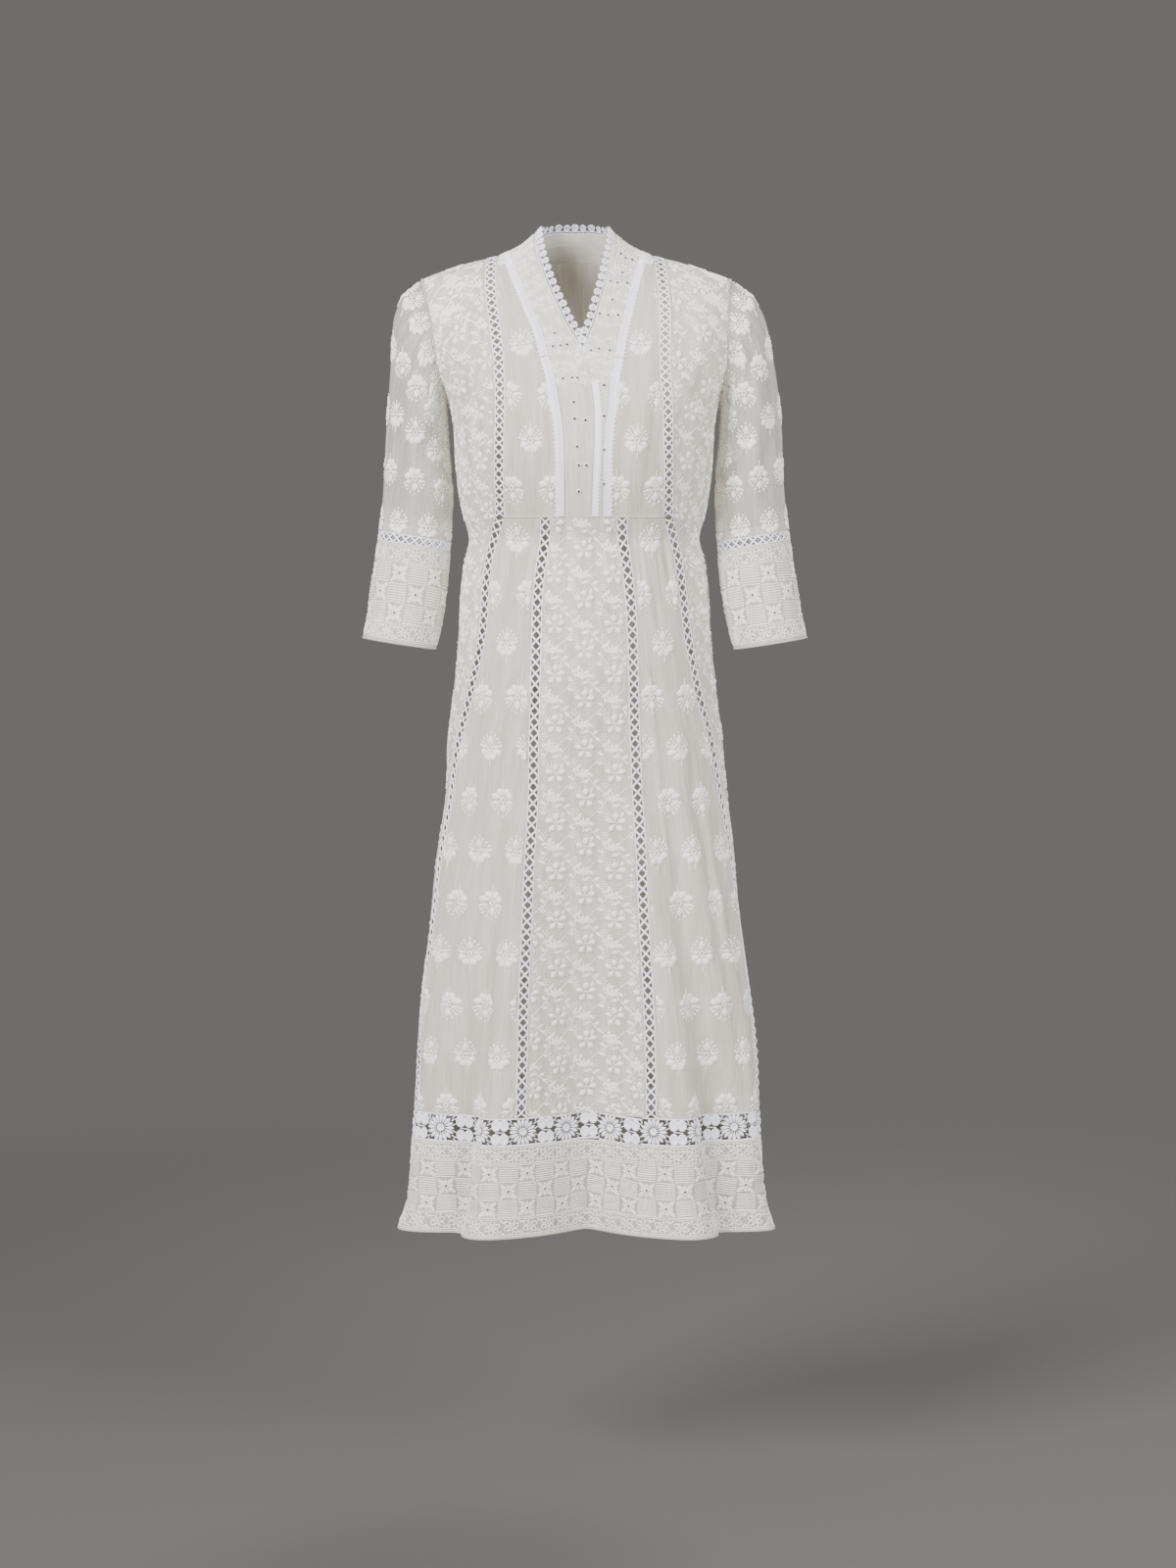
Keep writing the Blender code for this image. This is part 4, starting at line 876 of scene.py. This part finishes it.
def scalloped(pitch, width, rail=4.0):
    """One repeat of scalloped lace, from its foot at 0 across to its full width: a ladder strip with rungs,
    then a round of thread with spokes, an inner loop and picots."""
    radius, half = (width - rail) / 2, pitch / 2
    middle = rail + radius
    shapes = [stroke([(x, -half), (x, half)], 1.0, 0.6) for x in (0.5, rail - 0.4)]
    shapes += [stroke([(0.5, y), (rail - 0.4, y)], 0.7, 0.5) for y in np.linspace(-half, half, 6)[:-1] + 0.6]
    shapes += [ring(middle, 0, radius * 0.86, 1.3, 14, 0.8), ring(middle, 0, radius * 0.34, 0.9, 8, 0.9)]
    for angle in range(0, 360, 45):
        shapes.append(stroke([polar(radius * share, angle, middle) for share in (0.4, 0.8)], 0.8, 0.6))
    shapes += [dot(*polar(radius * 1.05, angle, middle), 0.8, 0.6, 6) for angle in range(-75, 76, 30)]
    return together(shapes)


def edging_run(place, us, vs, side):
    """Scalloped edging that goes on from a line on the body, flat in the body's tangent plane and away from
    the cloth: side is -1 where the cloth lies at larger angles."""
    base = body.read(us, vs)
    points, normal = base[..., :3], base[..., 3:6]
    aside = unit(np.cross(np.gradient(points, axis=0), normal)) * side
    length = run_of(points)
    even = np.linspace(0, length[-1], len(length))
    across = np.linspace(-1 * MM, EDGING_WIDTH * 1.3, 9)
    grid = points[:, None, :] + aside[:, None, :] * across[None, :, None]
    place_on = [[np.interp(even, length, grid[:, k, c]) for k in range(len(across))] for c in range(3)]
    form = Form(across, even, np.transpose(place_on, (2, 1, 0)))
    if form.read(0.0, length[-1] / 2)[3:6] @ normal[len(us) // 2] < 0:
        form.values[..., 3:6] *= -1
    spots = down_line(form, 1 * MM, length[-1] - 1 * MM, SCALLOP_PITCH * MM)
    name, cloth, node = (part + place for part in ("neck_scallops_", "neck_band_", "neck_edging_"))
    motif = scalloped(SCALLOP_PITCH, EDGING_WIDTH / MM)
    sewn(name, form, motif, spots, lace_cotton, f"{cloth}_cloth", [node], lift=-0.3 * MM)


above = bodice_downs < as_down(NECK_POINT_Z) + 2 * MM
edging_run("left", left_inner[above], bodice_downs[above], 1)
edging_run("right", right_inner[above], bodice_downs[above], -1)
edging_run("back", *back_neck(np.linspace(-90, 90, 61), 0.0), 1)

band_lace = close_lace(SCALLOP_PITCH, BAND_LACE_WIDTH)
for side_name, side in SIDES:
    form = strip_form(body, side * band_seam, bodice_downs, 9 * MM)
    spots = down_line(form, 0, waist_down, SCALLOP_PITCH * MM, -side * BAND_LACE_FOOT, 90 - side * 90)
    name, cloth = f"band_lace_{side_name}", f"neck_band_{side_name}_cloth"
    sewn(f"{name}_thread", form, band_lace, spots, lace_cotton, cloth, [name], lift=0.7 * MM)
lower = bodice_downs > as_down(PLACKET_TOP_Z)
form = strip_form(body, widened(overlap, bodice_downs, 2 * MM)[1][lower], bodice_downs[lower], 10 * MM)
spots = down_line(form, bodice_downs[lower][0], waist_down, PLACKET_LACE * MM)
name, cloth, placket = "placket_lace", "neck_band_left_cloth", close_lace(PLACKET_LACE, PLACKET_LACE)
sewn(f"{name}_thread", form, placket, spots, lace_cotton, cloth, [name], lift=0.7 * MM)

# ---------------- sprigs on the yoke and skirt
# Single sprigs worked by hand: a bowl of satin petals on a stem, a pointed leaf at each side, a looped eye
# and a fan of knots on stalks. They stand in rows that step half a repeat and turn about from row to row.
SPRIG_ACROSS = 49 * MM
SPRIG_DOWN = 63 * MM
YOKE_SPRIG_DOWN = 56 * MM
FAN_STALKS = ((20, 17.6), (39, 15.6), (57, 14.6), (74, 14.2))  # degrees from the middle and length

sprig_shapes = [ring(0, 0, 2.8, 2.0, 12, 1.4), leaf(0, 4.0, 13.0, 6.4, 90, 1.1, 12, 0, True)]
for lean in (-77, -26, 26, 77):
    sprig_shapes.append(leaf(0.02 * lean, -2.8, 13.2, 9.0, 270 + lean, 1.25, 14, 0.6, True))
sprig_shapes += [leaf(side * 4.2, 1.6, 9.6, 3.6, 90 - side * 82, 0.9, 8) for side in (-1, 1)]
sprig_shapes += [stroke([(0, -3), (0.3, -13), (0.9, -18), (0.2, -22)], 1.2, 1.0), dot(0, 19.6, 1.6, 1.1, 6)]
for degrees, reach in FAN_STALKS:
    for angle in (90 + degrees, 90 - degrees):
        tip = polar(reach, angle)
        sprig_shapes += [stroke([tip * 0.36, tip * 0.95], 1.3, 0.8), dot(*tip, 1.7, 1.1, 6)]
sprig = together(sprig_shapes)


def within(left, right, downs, edge=1.2 * MM):
    """A test for points that lie between two seams."""

    def test(u, v):
        """Whether points lie further than the edge from all four sides."""
        size = body.stretch((left + right).mean() / 2, np.clip(v, downs[0], downs[-1]))[0]
        low, high = (np.interp(v, downs, line) for line in (left, right))
        across = ((u - low) * size > edge) & ((high - u) * size > edge)
        return across & (v > downs[0] + edge) & (v < downs[-1] - edge)

    return test


def along_row(left, right, downs, down, step, shift):
    """Angles a step apart along the cloth between two seams, measured from the panel's middle and moved by a
    share of a step, with one more beyond each seam."""
    angles = np.linspace(np.interp(down, downs, left), np.interp(down, downs, right), 300)
    run = run_of(body.at(angles, down))
    steps = np.arange(run[-1] / 2 % step - step * (1 - shift), run[-1] + step * 0.6, step)
    beyond = (steps - np.clip(steps, 0, run[-1])) / body.stretch(angles[0], down)[0]
    return np.interp(steps, run, angles) + beyond


def covered(name, panel, motif, across, down, first, beyond, turn=0, edge=1.2 * MM, row=0, inset=0):
    """Covers a panel with a motif, a step across and down apart, from first to beyond the panel's ends. Odd
    rows are moved half a step and turned. row is the first one's number; inset, in degrees, keeps clear of
    the sides."""
    left, right, downs = panels[panel]
    rows = np.arange(downs[0] + first, downs[-1] + beyond, down)
    spots = []
    for n, at in enumerate(rows, row):
        spots.append(spots_of(along_row(left, right, downs, at, across, n % 2 / 2), at, n % 2 * turn))
    inside = within(left + inset, right - inset, downs, edge)
    sewn(name, body, motif, np.vstack(spots), floss, f"{panel}_cloth", inside=inside)


for name, panel, first, down, row in (
    ("yoke_panel_sprigs_left", "yoke_panel_left", 30, YOKE_SPRIG_DOWN, 0),
    ("yoke_panel_sprigs_right", "yoke_panel_right", 30, YOKE_SPRIG_DOWN, 0),
    ("skirt_panel_sprigs_left", "skirt_panel_left", 28, SPRIG_DOWN, 0),
    ("skirt_panel_sprigs_right", "skirt_panel_right", 28, SPRIG_DOWN, 0),
    ("back_bodice_sprigs", "back_bodice", 123, SPRIG_DOWN, 1),
    ("back_skirt_sprigs", "back_skirt", 30, SPRIG_DOWN, 0),
):
    covered(name, panel, sprig, SPRIG_ACROSS, down, first * MM, 15 * MM, 180, row=row, inset=row)

# ---------------- all-over vine on the side and middle panels
# A dense tone-on-tone vine that covers the side panels and the skirt's middle panel: five-petalled flowers,
# fans of long satin fingers, paired leaves on a wandering stem, and rings of knots.
VINE_ACROSS = 72 * MM
VINE_DOWN = 30 * MM

vine_shapes = [leaf(*polar(2.4, angle), 10.5, 7.2, angle, 1.2, 10, 0.3, True) for angle in range(18, 378, 72)]
sway = np.linspace(0, 1, 15)
stem = np.column_stack([11 * np.sin(2 * np.pi * sway) + 14, 14 - 60 * sway])
vine_shapes += [ring(0, 0, 1.9, 1.2, 10, 1.1), stroke(stem, 1.1, 0.6)]
for place, lean in ((1, 140), (2, 20), (5, 150), (7, -15), (9, 215), (10, 330), (12, 200), (13, 30)):
    vine_shapes.append(leaf(*stem[place], 9.0, 4.2, lean, 0.8, 8))
vine_shapes += [leaf(-3, -34, 12.5, 3.0, angle, 0.8, 8) for angle in (28, 59, 90, 121, 152)]
vine_shapes.append(stroke([(-3, -34), (-2.5, -38), (-4, -41)], 1.1, 0.7))
for x, y in ((-13, -15), (27, -22), (-14, -44)):
    vine_shapes.append(dot(x, y, 1.3, 0.9, 5))
    vine_shapes += [dot(*polar(3.4, angle, x, y), 1.2, 0.9, 5) for angle in range(0, 360, 60)]
for x, y, angle in ((-9, -24, 60), (-9, -24, 200), (9, -46, 250)):
    vine_shapes.append(leaf(x, y, 8, 3.8, angle, 0.7, 8))
for x, y in ((-8, 14), (0, 15), (5, -16), (-16, -32), (12, -30), (3, -48)):
    vine_shapes.append(dot(x, y, 1.0, 0.8, 5))
vine = together(vine_shapes)

for name, panel, first in (
    ("side_panel_vine_left", "side_panel_left", 8),
    ("side_panel_vine_right", "side_panel_right", 8),
    ("skirt_middle_vine", "skirt_middle", -20),
):
    covered(name, panel, vine, VINE_ACROSS, VINE_DOWN, first * MM, 45 * MM, edge=0.6 * MM)

# ---------------- daisy lace above the hem
# Guipure lace of big daisies with pairs of solid ovals between them, held by short threads and open
# elsewhere.
DAISY_REPEAT = 60 * MM
PETALS = 16
LONGEST_PETAL = 15.2
OVAL_SIZE = (11.8, 14.6)  # across and high
DAISY_THREADS = (  # the ends of each thread, and of its mirror image
    ((15, 3), (21, 6)), ((46, 3), (41, 6)), ((14, 9), (20, 12)), ((47, 9), (41, 12)),
    ((16, 12), (18, 17)), ((45, 12), (43, 17)), ((30.8, 12), (30.8, 17)),
)
lace_depth = (HEM_LACE_Z - BORDER_Z) / MM
LACE_OVERRUN = 30 * MM  # how far the lace's form goes on past its join
FRONT_ENDS_AT = -0.12  # the cosine of the turn where the front's lace ends, just behind the sides


def oval(x, y, across, high, height, count=16):
    """A solid oval of close stitches: a raised rim, a dip inside it and a crowned middle."""
    edge = polar(0.5, np.arange(count) * 360 / count) * (across, high) + (x, y)
    return dome(edge, np.array((x, y)), ((1, 0), (0.88, height), (0.70, height * 0.45), (0, height * 0.8)))


def length_form(base, us, middle, downs, count, before=0.0, after=0.0):
    """A form along a line round another by its length in metres, and that length. before and after are how
    far it goes on past the ends of a line that closes on itself."""
    run = run_of(base.at(us, middle))
    even = np.linspace(-before, run[-1] + after, count)
    along = np.interp(even % run[-1] if before else even, run, us)
    return Form(even, downs, base.at(along, downs[:, None]), base.facing), float(run[-1])


daisy_shapes = []
for angle in np.linspace(0, 360, PETALS, endpoint=False):
    reach = min(LONGEST_PETAL, (lace_depth / 2 + 0.6) / max(abs(polar(1, angle)[1]), 0.01))
    daisy_shapes.append(leaf(*polar(3.8, angle), reach - 1.6, 4.3, angle, 1.3, 12, 0.7))
daisy_shapes += [oval(0, 0, 9.4, 9.4, 1.5), stroke([(25, 0.5), (37, -0.5)], 1.1, 0.7)]
rail_y = lace_depth / 2 - 0.4
for side in (1, -1):
    daisy_shapes += [oval(x, side * 8.6, *OVAL_SIZE, 1.2) for x in (25.6, 36.0)]
    daisy_shapes += [stroke(np.multiply(ends, (1, side)), 1.1, 0.7) for ends in DAISY_THREADS]
    daisy_shapes.append(stroke([(x, side * rail_y) for x in np.linspace(-15, 45, 9)], 2.2, 0.9))
daisy = together(daisy_shapes)

hem_lace_downs = np.linspace(as_down(HEM_LACE_Z), as_down(BORDER_Z), 24)
middle_down = hem_lace_downs.mean()
turns = np.linspace(-180, 180, 1441)
form, length = length_form(body, turns, middle_down, hem_lace_downs, 900, LACE_OVERRUN, LACE_OVERRUN)
repeats = round(length / DAISY_REPEAT)
share = (np.arange(repeats) + 0.5) / repeats
in_front = np.cos((share - 0.5) * 2 * np.pi) > FRONT_ENDS_AT
for place, chosen in (("front", in_front), ("back", ~in_front)):
    spots = spots_of(share[chosen] * length, middle_down, 0, length / repeats / DAISY_REPEAT)
    cloth, node = f"hem_border_{place}_cloth", f"hem_lace_{place}"
    sewn(f"hem_daisies_{place}", form, daisy, spots, lace_cotton, cloth, [node], lift=-0.3 * MM)

# ---------------- corded border at the hem
# Cream net worked all over: a row of loop flowers, a chequer of star flowers and corded squares, another row
# of loop flowers, with a double ridge between rows, and a rolled edge.
CORDS = 8
SQUARE_SIZE = (21.2, 20.8)  # millimetres across and high, as drawn
FLOWER_SIZE = 19.0
LARGEST_FLOWER = 1.15  # as a share of its drawn size
BORDER_MIDDLE_Z = -1.15
BORDER_RIDGES_Z = (BORDER_Z - 2 * MM, -1.113, -1.180, -1.201, HEM_Z + 1 * MM)

# Corded net: a coarse, matt weave, darker than the thread on it, with deep painted shade inside its eyelets:
# a dark dot in the middle of each star flower.
border_cotton = finish_of("corded_net_cotton", "#C9C5BC", "corded_border", roughness=0.85, sheen_weight=0.25)
# Its streaked tint is partly slub tone and partly painted shade in the crinkles' hollows.
woven(border_cotton, 1.5 * MM, 0.9, 0.25, "#A5A196", "#C0BCB2")
eyelet_shade = finish_of("eyelet_shadow_cotton", "#6F6A60", "corded_border", roughness=0.95)

loop_edge = polar(1, np.linspace(0, 360, 11)) * (3.0, 2.2) + (5.9, 0)
loop_shapes = [dot(0, 0, 1.5, 1.2, 7)]
for angle in range(30, 390, 60):
    c, s = polar(1, angle)
    loop_shapes += [stroke(loop_edge @ ((c, s), (-s, c)), 1.5, 1.1), dot(2.4 * c, 2.4 * s, 0.8, 0.8, 5)]
loop_flower = together(loop_shapes)
filler = together(
    [leaf(0, side * 5.2, 4.4, 2.6, side * lean, 0.8, 6) for side in (1, -1) for lean in (30, 150)]
    + [dot(0, side * 4.8, 1.1, 0.8, 5) for side in (-1, 1)]
)
cord = np.array(((-10.6, 0), (-3.4, 0.25), (3.4, -0.25), (10.6, 0)))
corded_square = together([stroke(cord + (0, y), 1.5, 0.9) for y in np.linspace(-9.4, 9.4, CORDS)])
star_shapes = [ring(0, 0, 2.3, 1.6, 12, 1.2)]
for angle in range(45, 405, 90):
    star_shapes.append(leaf(*polar(2.2, angle), 9.8, 5.2, angle, 1.0, 10))
    star_shapes.append(ring(*polar(10.6, angle), 1.5, 1.0, 7, 0.9))
star_shapes += [leaf(*polar(2.4, angle), 6.0, 3.8, angle, 0.8, 8) for angle in range(0, 360, 90)]
star_flower = together(star_shapes)
# A flat dark dot: painted shadow inside the eyelet at each star flower's middle.
eyelet = together([dot(0, 0, 1.5, 0.25, 8)])


def bordered(name, form, length, edges, square=24 * MM, flowers=23 * MM, closed=False):
    """All the thread work on a border. edges are the downs of its four double ridges and its rolled edge;
    between them are a row of loop flowers, three rows of squares and another row of loop flowers."""
    count = max(round(length / square), 2)
    count += count % 2 if closed else 0
    pitch, high = length / count, (edges[2] - edges[1] - 2 * MM) / 3
    row, k = np.indices((3, count)).reshape(2, -1)
    size = np.divide((pitch, high), SQUARE_SIZE) / MM
    squares = spots_of((k + 0.5) * pitch, edges[1] + 1 * MM + (row + 0.5) * high, 0, *size)
    starred, corded = (squares[(row + k) % 2 == n] for n in (0, 1))
    count = round(length / flowers)
    k, loops, fillers = np.arange(count), [], []
    for top, bottom in (edges[:2], edges[2:4]):
        size = min((bottom - top) / MM / FLOWER_SIZE, LARGEST_FLOWER)
        for spots, steps in ((loops, k + 0.5), (fillers, k + 1 - 0.5 * (k == count - 1))):
            spots.append(spots_of(steps * length / count, (top + bottom) / 2, 0, size, size))
    for place, motif, spots, material, lift in (
        ("cords", corded_square, corded, border_floss, 0.0),
        ("stars", star_flower, starred, border_floss, 0.0),
        # painted shadow inside the stars' eyelets
        ("eyelet_shadows", eyelet, starred, eyelet_shade, 0.15),
        ("loops", loop_flower, np.vstack(loops), border_floss, 0.0),
        ("fillers", filler, np.vstack(fillers), border_floss, 0.0),
    ):
        sewn(f"{name}_{place}", form, motif, spots, material, f"{name}_cloth", lift=lift * MM)
    rolls = [("rolled_edge", edges[4], 3.2, 1.1, border_cotton)]
    for n, down in enumerate(edges[:4]):
        rolls += [(f"ridge_{n}_{k}", down + (2 * k - 1) * MM, 1.3, 0.9, border_floss) for k in (0, 1)]
    for place, down, *looks in rolls:
        roll(f"{name}_{place}", form, np.arange(0, length + 1.9 * MM, 2 * MM), down, *looks, f"{name}_cloth")


border_side = SIDE_SEAM[-1][1]
border_downs = downs_between(float(as_down(BORDER_Z)), float(as_down(HEM_Z)))
for place, start, stop in (("front", -border_side, border_side), ("back", border_side, 360 - border_side)):
    name = f"hem_border_{place}"
    angles = np.linspace(start, stop, 1200)
    form, length = length_form(body, angles, as_down(BORDER_MIDDLE_Z), border_downs, 600)
    even = np.linspace(0, length, int(length / (3 * MM)))
    angles = np.interp(even, run_of(body.at(angles, as_down(BORDER_MIDDLE_Z))), angles)
    sheet_of(f"{name}_cloth", body, *np.meshgrid(angles, border_downs), border_cotton, [name])
    bordered(name, form, length, [float(as_down(z)) for z in BORDER_RIDGES_Z])

# ---------------- sleeves
# Elbow sleeves of sheer organza with single sprigs, a ring of ladder lace let in above the cuff, and a deep
# corded cuff of the same net and thread as the hem's border.
SLEEVE_SPRIG_ACROSS = 39 * MM
SLEEVE_SPRIG_DOWN = 56 * MM
SLEEVE_SPRIG_SIZE = 0.92
SPRIGS_END = 13 * MM  # from the lowest row of sprigs to the ladder lace
SLEEVE_TURNING = 12 * MM
LADDER_SQUEEZE = 0.86  # how narrow the ladder lace is worked above the cuff
CUFF_RIDGES = (0.03, 0.185, 0.80, 0.955, 0.99)  # shares of the cuff's length, the last for its rolled edge
# Each ring is an ellipse: its outer point's x and z, its inner point's x and z, its middle's y and half its
# depth, in millimetres.
SLEEVE_RINGS = (
    (207, -52, 169, -193, 0, 49), (221, -76, 168.5, -206, 2, 50), (231, -118.5, 167.5, -224, 3, 50),
    (245, -219, 163.5, -271, 4, 48), (247, -274, 162, -302, 4, 47), (253, -340, 165, -354, 2, 46),
)
CUFF_RINGS = (
    (254.5, -350, 166, -364, 1, 46), (259, -383, 168, -395, -2, 45), (264, -409.5, 171, -421, -5, 44),
    (268.5, -441, 177.5, -454, -8, 43), (275, -471.5, 186, -485.5, -12, 42),
)
# Creases: down the sleeve in metres, turn in degrees, slant in degrees per metre, half width in metres and
# depth in millimetres.
SLEEVE_CREASES = (
    (0.06, 70, 520, 0.016, 2.4), (0.09, 100, 420, 0.018, -2.2), (0.13, 118, 460, 0.015, 2.6),
    (0.17, 60, 380, 0.016, 2.0), (0.20, 300, 420, 0.014, 2.2), (0.205, 130, -500, 0.012, 2.3),
    (0.17, 85, 260, 0.022, -2.0), (0.10, 240, 350, 0.014, 2.2), (0.215, 210, -380, 0.012, 2.0),
    (0.15, 20, -300, 0.018, 1.8), (0.07, 140, 300, 0.014, 2.2),
)
SLEEVE_CREASE_ARC = 16  # half the width of a crease's bell, in degrees round the sleeve

# Organza: fine stiff plain weave that lets most of the light through between its slubs.
organza = finish_of("cotton_organza", "#F0EAE1", "sheer_organza", roughness=0.8, sheen_weight=0.3)
streaks = woven(organza, 0.9 * MM, 0.4, 0.35)
cover = {"From Min": 0.14, "From Max": 0.36, "To Min": 0.14, "To Max": 0.30}
add_node(organza, "MapRange", {}, cover, {"Value": (streaks, "Value")}, "Alpha")


def armhole_points(side):
    """The armhole's loop, down its front and up its back, by the turn of each point round it."""
    downs = np.linspace(0, underarm_down, 80)
    front = np.where(downs > downs[-1] - 1 * MM, 90.0, seam_angle(ARMHOLE, downs))
    loop = body.at(side * np.append(front, 180 - front[-2:0:-1]), np.append(downs, downs[-2:0:-1]))
    y, z, top, low = loop[:, 1], loop[:, 2], loop[0, 2], loop[len(downs) - 1, 2]
    turn = np.arctan2(-y / np.abs(y).max(), (2 * z - top - low) / (top - low)) % (2 * np.pi)
    order = np.argsort(turn)
    return turn[order], loop[order]


def sleeve_form(side):
    """A form down the sleeve: its turn in degrees from the outer side by the front, and down it in metres. It
    is an ellipse between each ring's outer and inner point, and starts from the armhole's loop."""
    rings = np.array(SLEEVE_RINGS + CUFF_RINGS).T * MM
    if side < 0:
        rings[0:3:2] = 2 * section(rings[1:4:2], "centre_x") - rings[0:3:2]
    outer_x, outer_z, inner_x, inner_z, middle_y, half_depth = rings
    middle = np.stack([(outer_x + inner_x) / 2, middle_y, (outer_z + inner_z) / 2], 1)
    half = np.stack([(outer_x - inner_x) / 2, half_depth, (outer_z - inner_z) / 2], 1)
    loop_turn, loop = armhole_points(side)
    stations = np.linalg.norm(middle[0] - loop.mean(0)) + run_of(middle)
    turns, downs = np.arange(-8, 369, 2.0), np.linspace(0, stations[-1], 200)
    turn, down = np.meshgrid(np.radians(turns), downs)
    middle, half = (np.stack([smooth(down, stations, k) for k in sizes.T], -1) for sizes in (middle, half))
    points = middle + half * np.stack([np.cos(turn), -np.sin(turn), np.cos(turn)], -1)
    start = np.stack([np.interp(turn, loop_turn, part, period=2 * np.pi) for part in loop.T], -1)
    share = np.clip(down / stations[0], 0, 1)[..., None]
    points = start * (1 - share) + points * share
    radial = unit(points - middle)
    for at, crease_turn, slant, width, depth in SLEEVE_CREASES:
        away = away_from(np.degrees(turn) - (down - at) * slant * side, crease_turn)
        bell = np.exp(-((away / SLEEVE_CREASE_ARC) ** 2) - ((down - at) / (width * 3)) ** 2)
        points = points - radial * (bell * depth * MM)[..., None]
    return Form(turns, downs, points, -side), stations


around, whole_turn = np.arange(0, 360, 3.6), np.arange(0, 360.1, 3.0)
for side_name, side in SIDES:
    form, stations = sleeve_form(side)
    lace_top, lace_bottom, cuff_end = stations[[len(SLEEVE_RINGS) - 1, len(SLEEVE_RINGS), -1]]
    halves = [f"sleeve_{side_name}_front", f"sleeve_{side_name}_back"]
    sleeve, cuff = f"sleeve_{side_name}_cloth", f"cuff_{side_name}_cloth"
    turning = f"sleeve_{side_name}_turning"
    for name, top, bottom, material, nodes, lift, on in (
        (sleeve, 0.6 * MM, lace_top, organza, halves, 0.0, None),
        (cuff, lace_bottom, cuff_end, border_cotton, [f"cuff_{side_name}"], 0.0, None),
        (turning, lace_top - SLEEVE_TURNING, lace_top, organza, (), BEHIND_CLOTH, sleeve),
    ):
        grid = np.meshgrid(around, downs_between(top, bottom))
        sheet_of(name, form, *grid, material, nodes, lift, closed=True, on=on)
    spots = []
    for n, down in enumerate(np.arange(lace_top - SPRIGS_END, 2 * MM, -SLEEVE_SPRIG_DOWN)):
        count = max(round(form.stretch(90, down)[0] * 360 / SLEEVE_SPRIG_ACROSS), 3)
        turns = (np.arange(count) + n % 2 / 2 + 0.2) * 360 / count % 360
        spots.append(spots_of(turns, down, n % 2 * 180, SLEEVE_SPRIG_SIZE, SLEEVE_SPRIG_SIZE))

    def on_sleeve(_, v, end=lace_top - 1 * MM):
        """Whether points lie between the armhole and the ladder lace."""
        return (v < end) & (v > 3 * MM)

    sewn(f"sleeve_{side_name}_sprigs", form, sprig, np.vstack(spots), floss, sleeve, inside=on_sleeve)
    middle, lace_downs = (lace_top + lace_bottom) / 2, np.linspace(lace_top - 3 * MM, lace_bottom + 3 * MM, 9)
    lace_form, length = length_form(form, whole_turn, middle, lace_downs, 150)
    count = round(length / SLEEVE_LADDER_PITCH)
    for half, cells in (("front", np.arange(count // 2)), ("back", np.arange(count // 2, count))):
        spots = spots_of((cells + 0.5) * length / count, middle, 90, LADDER_SQUEEZE)
        name, node = f"sleeve_ladder_{side_name}_{half}", f"sleeve_insertion_{side_name}_{half}"
        sewn(name, lace_form, ladder(length / count), spots, lace_cotton, cuff, [node], lift=-0.2 * MM)
    cuff_downs, middle = np.linspace(lace_bottom, cuff_end, 40), (lace_bottom + cuff_end) / 2
    cuff_form, length = length_form(form, whole_turn, middle, cuff_downs, 190, 4 * MM, 8 * MM)
    ridges = [lace_bottom + (cuff_end - lace_bottom) * share for share in CUFF_RIDGES]
    bordered(f"cuff_{side_name}", cuff_form, length, ridges, 25 * MM, 22 * MM, closed=True)
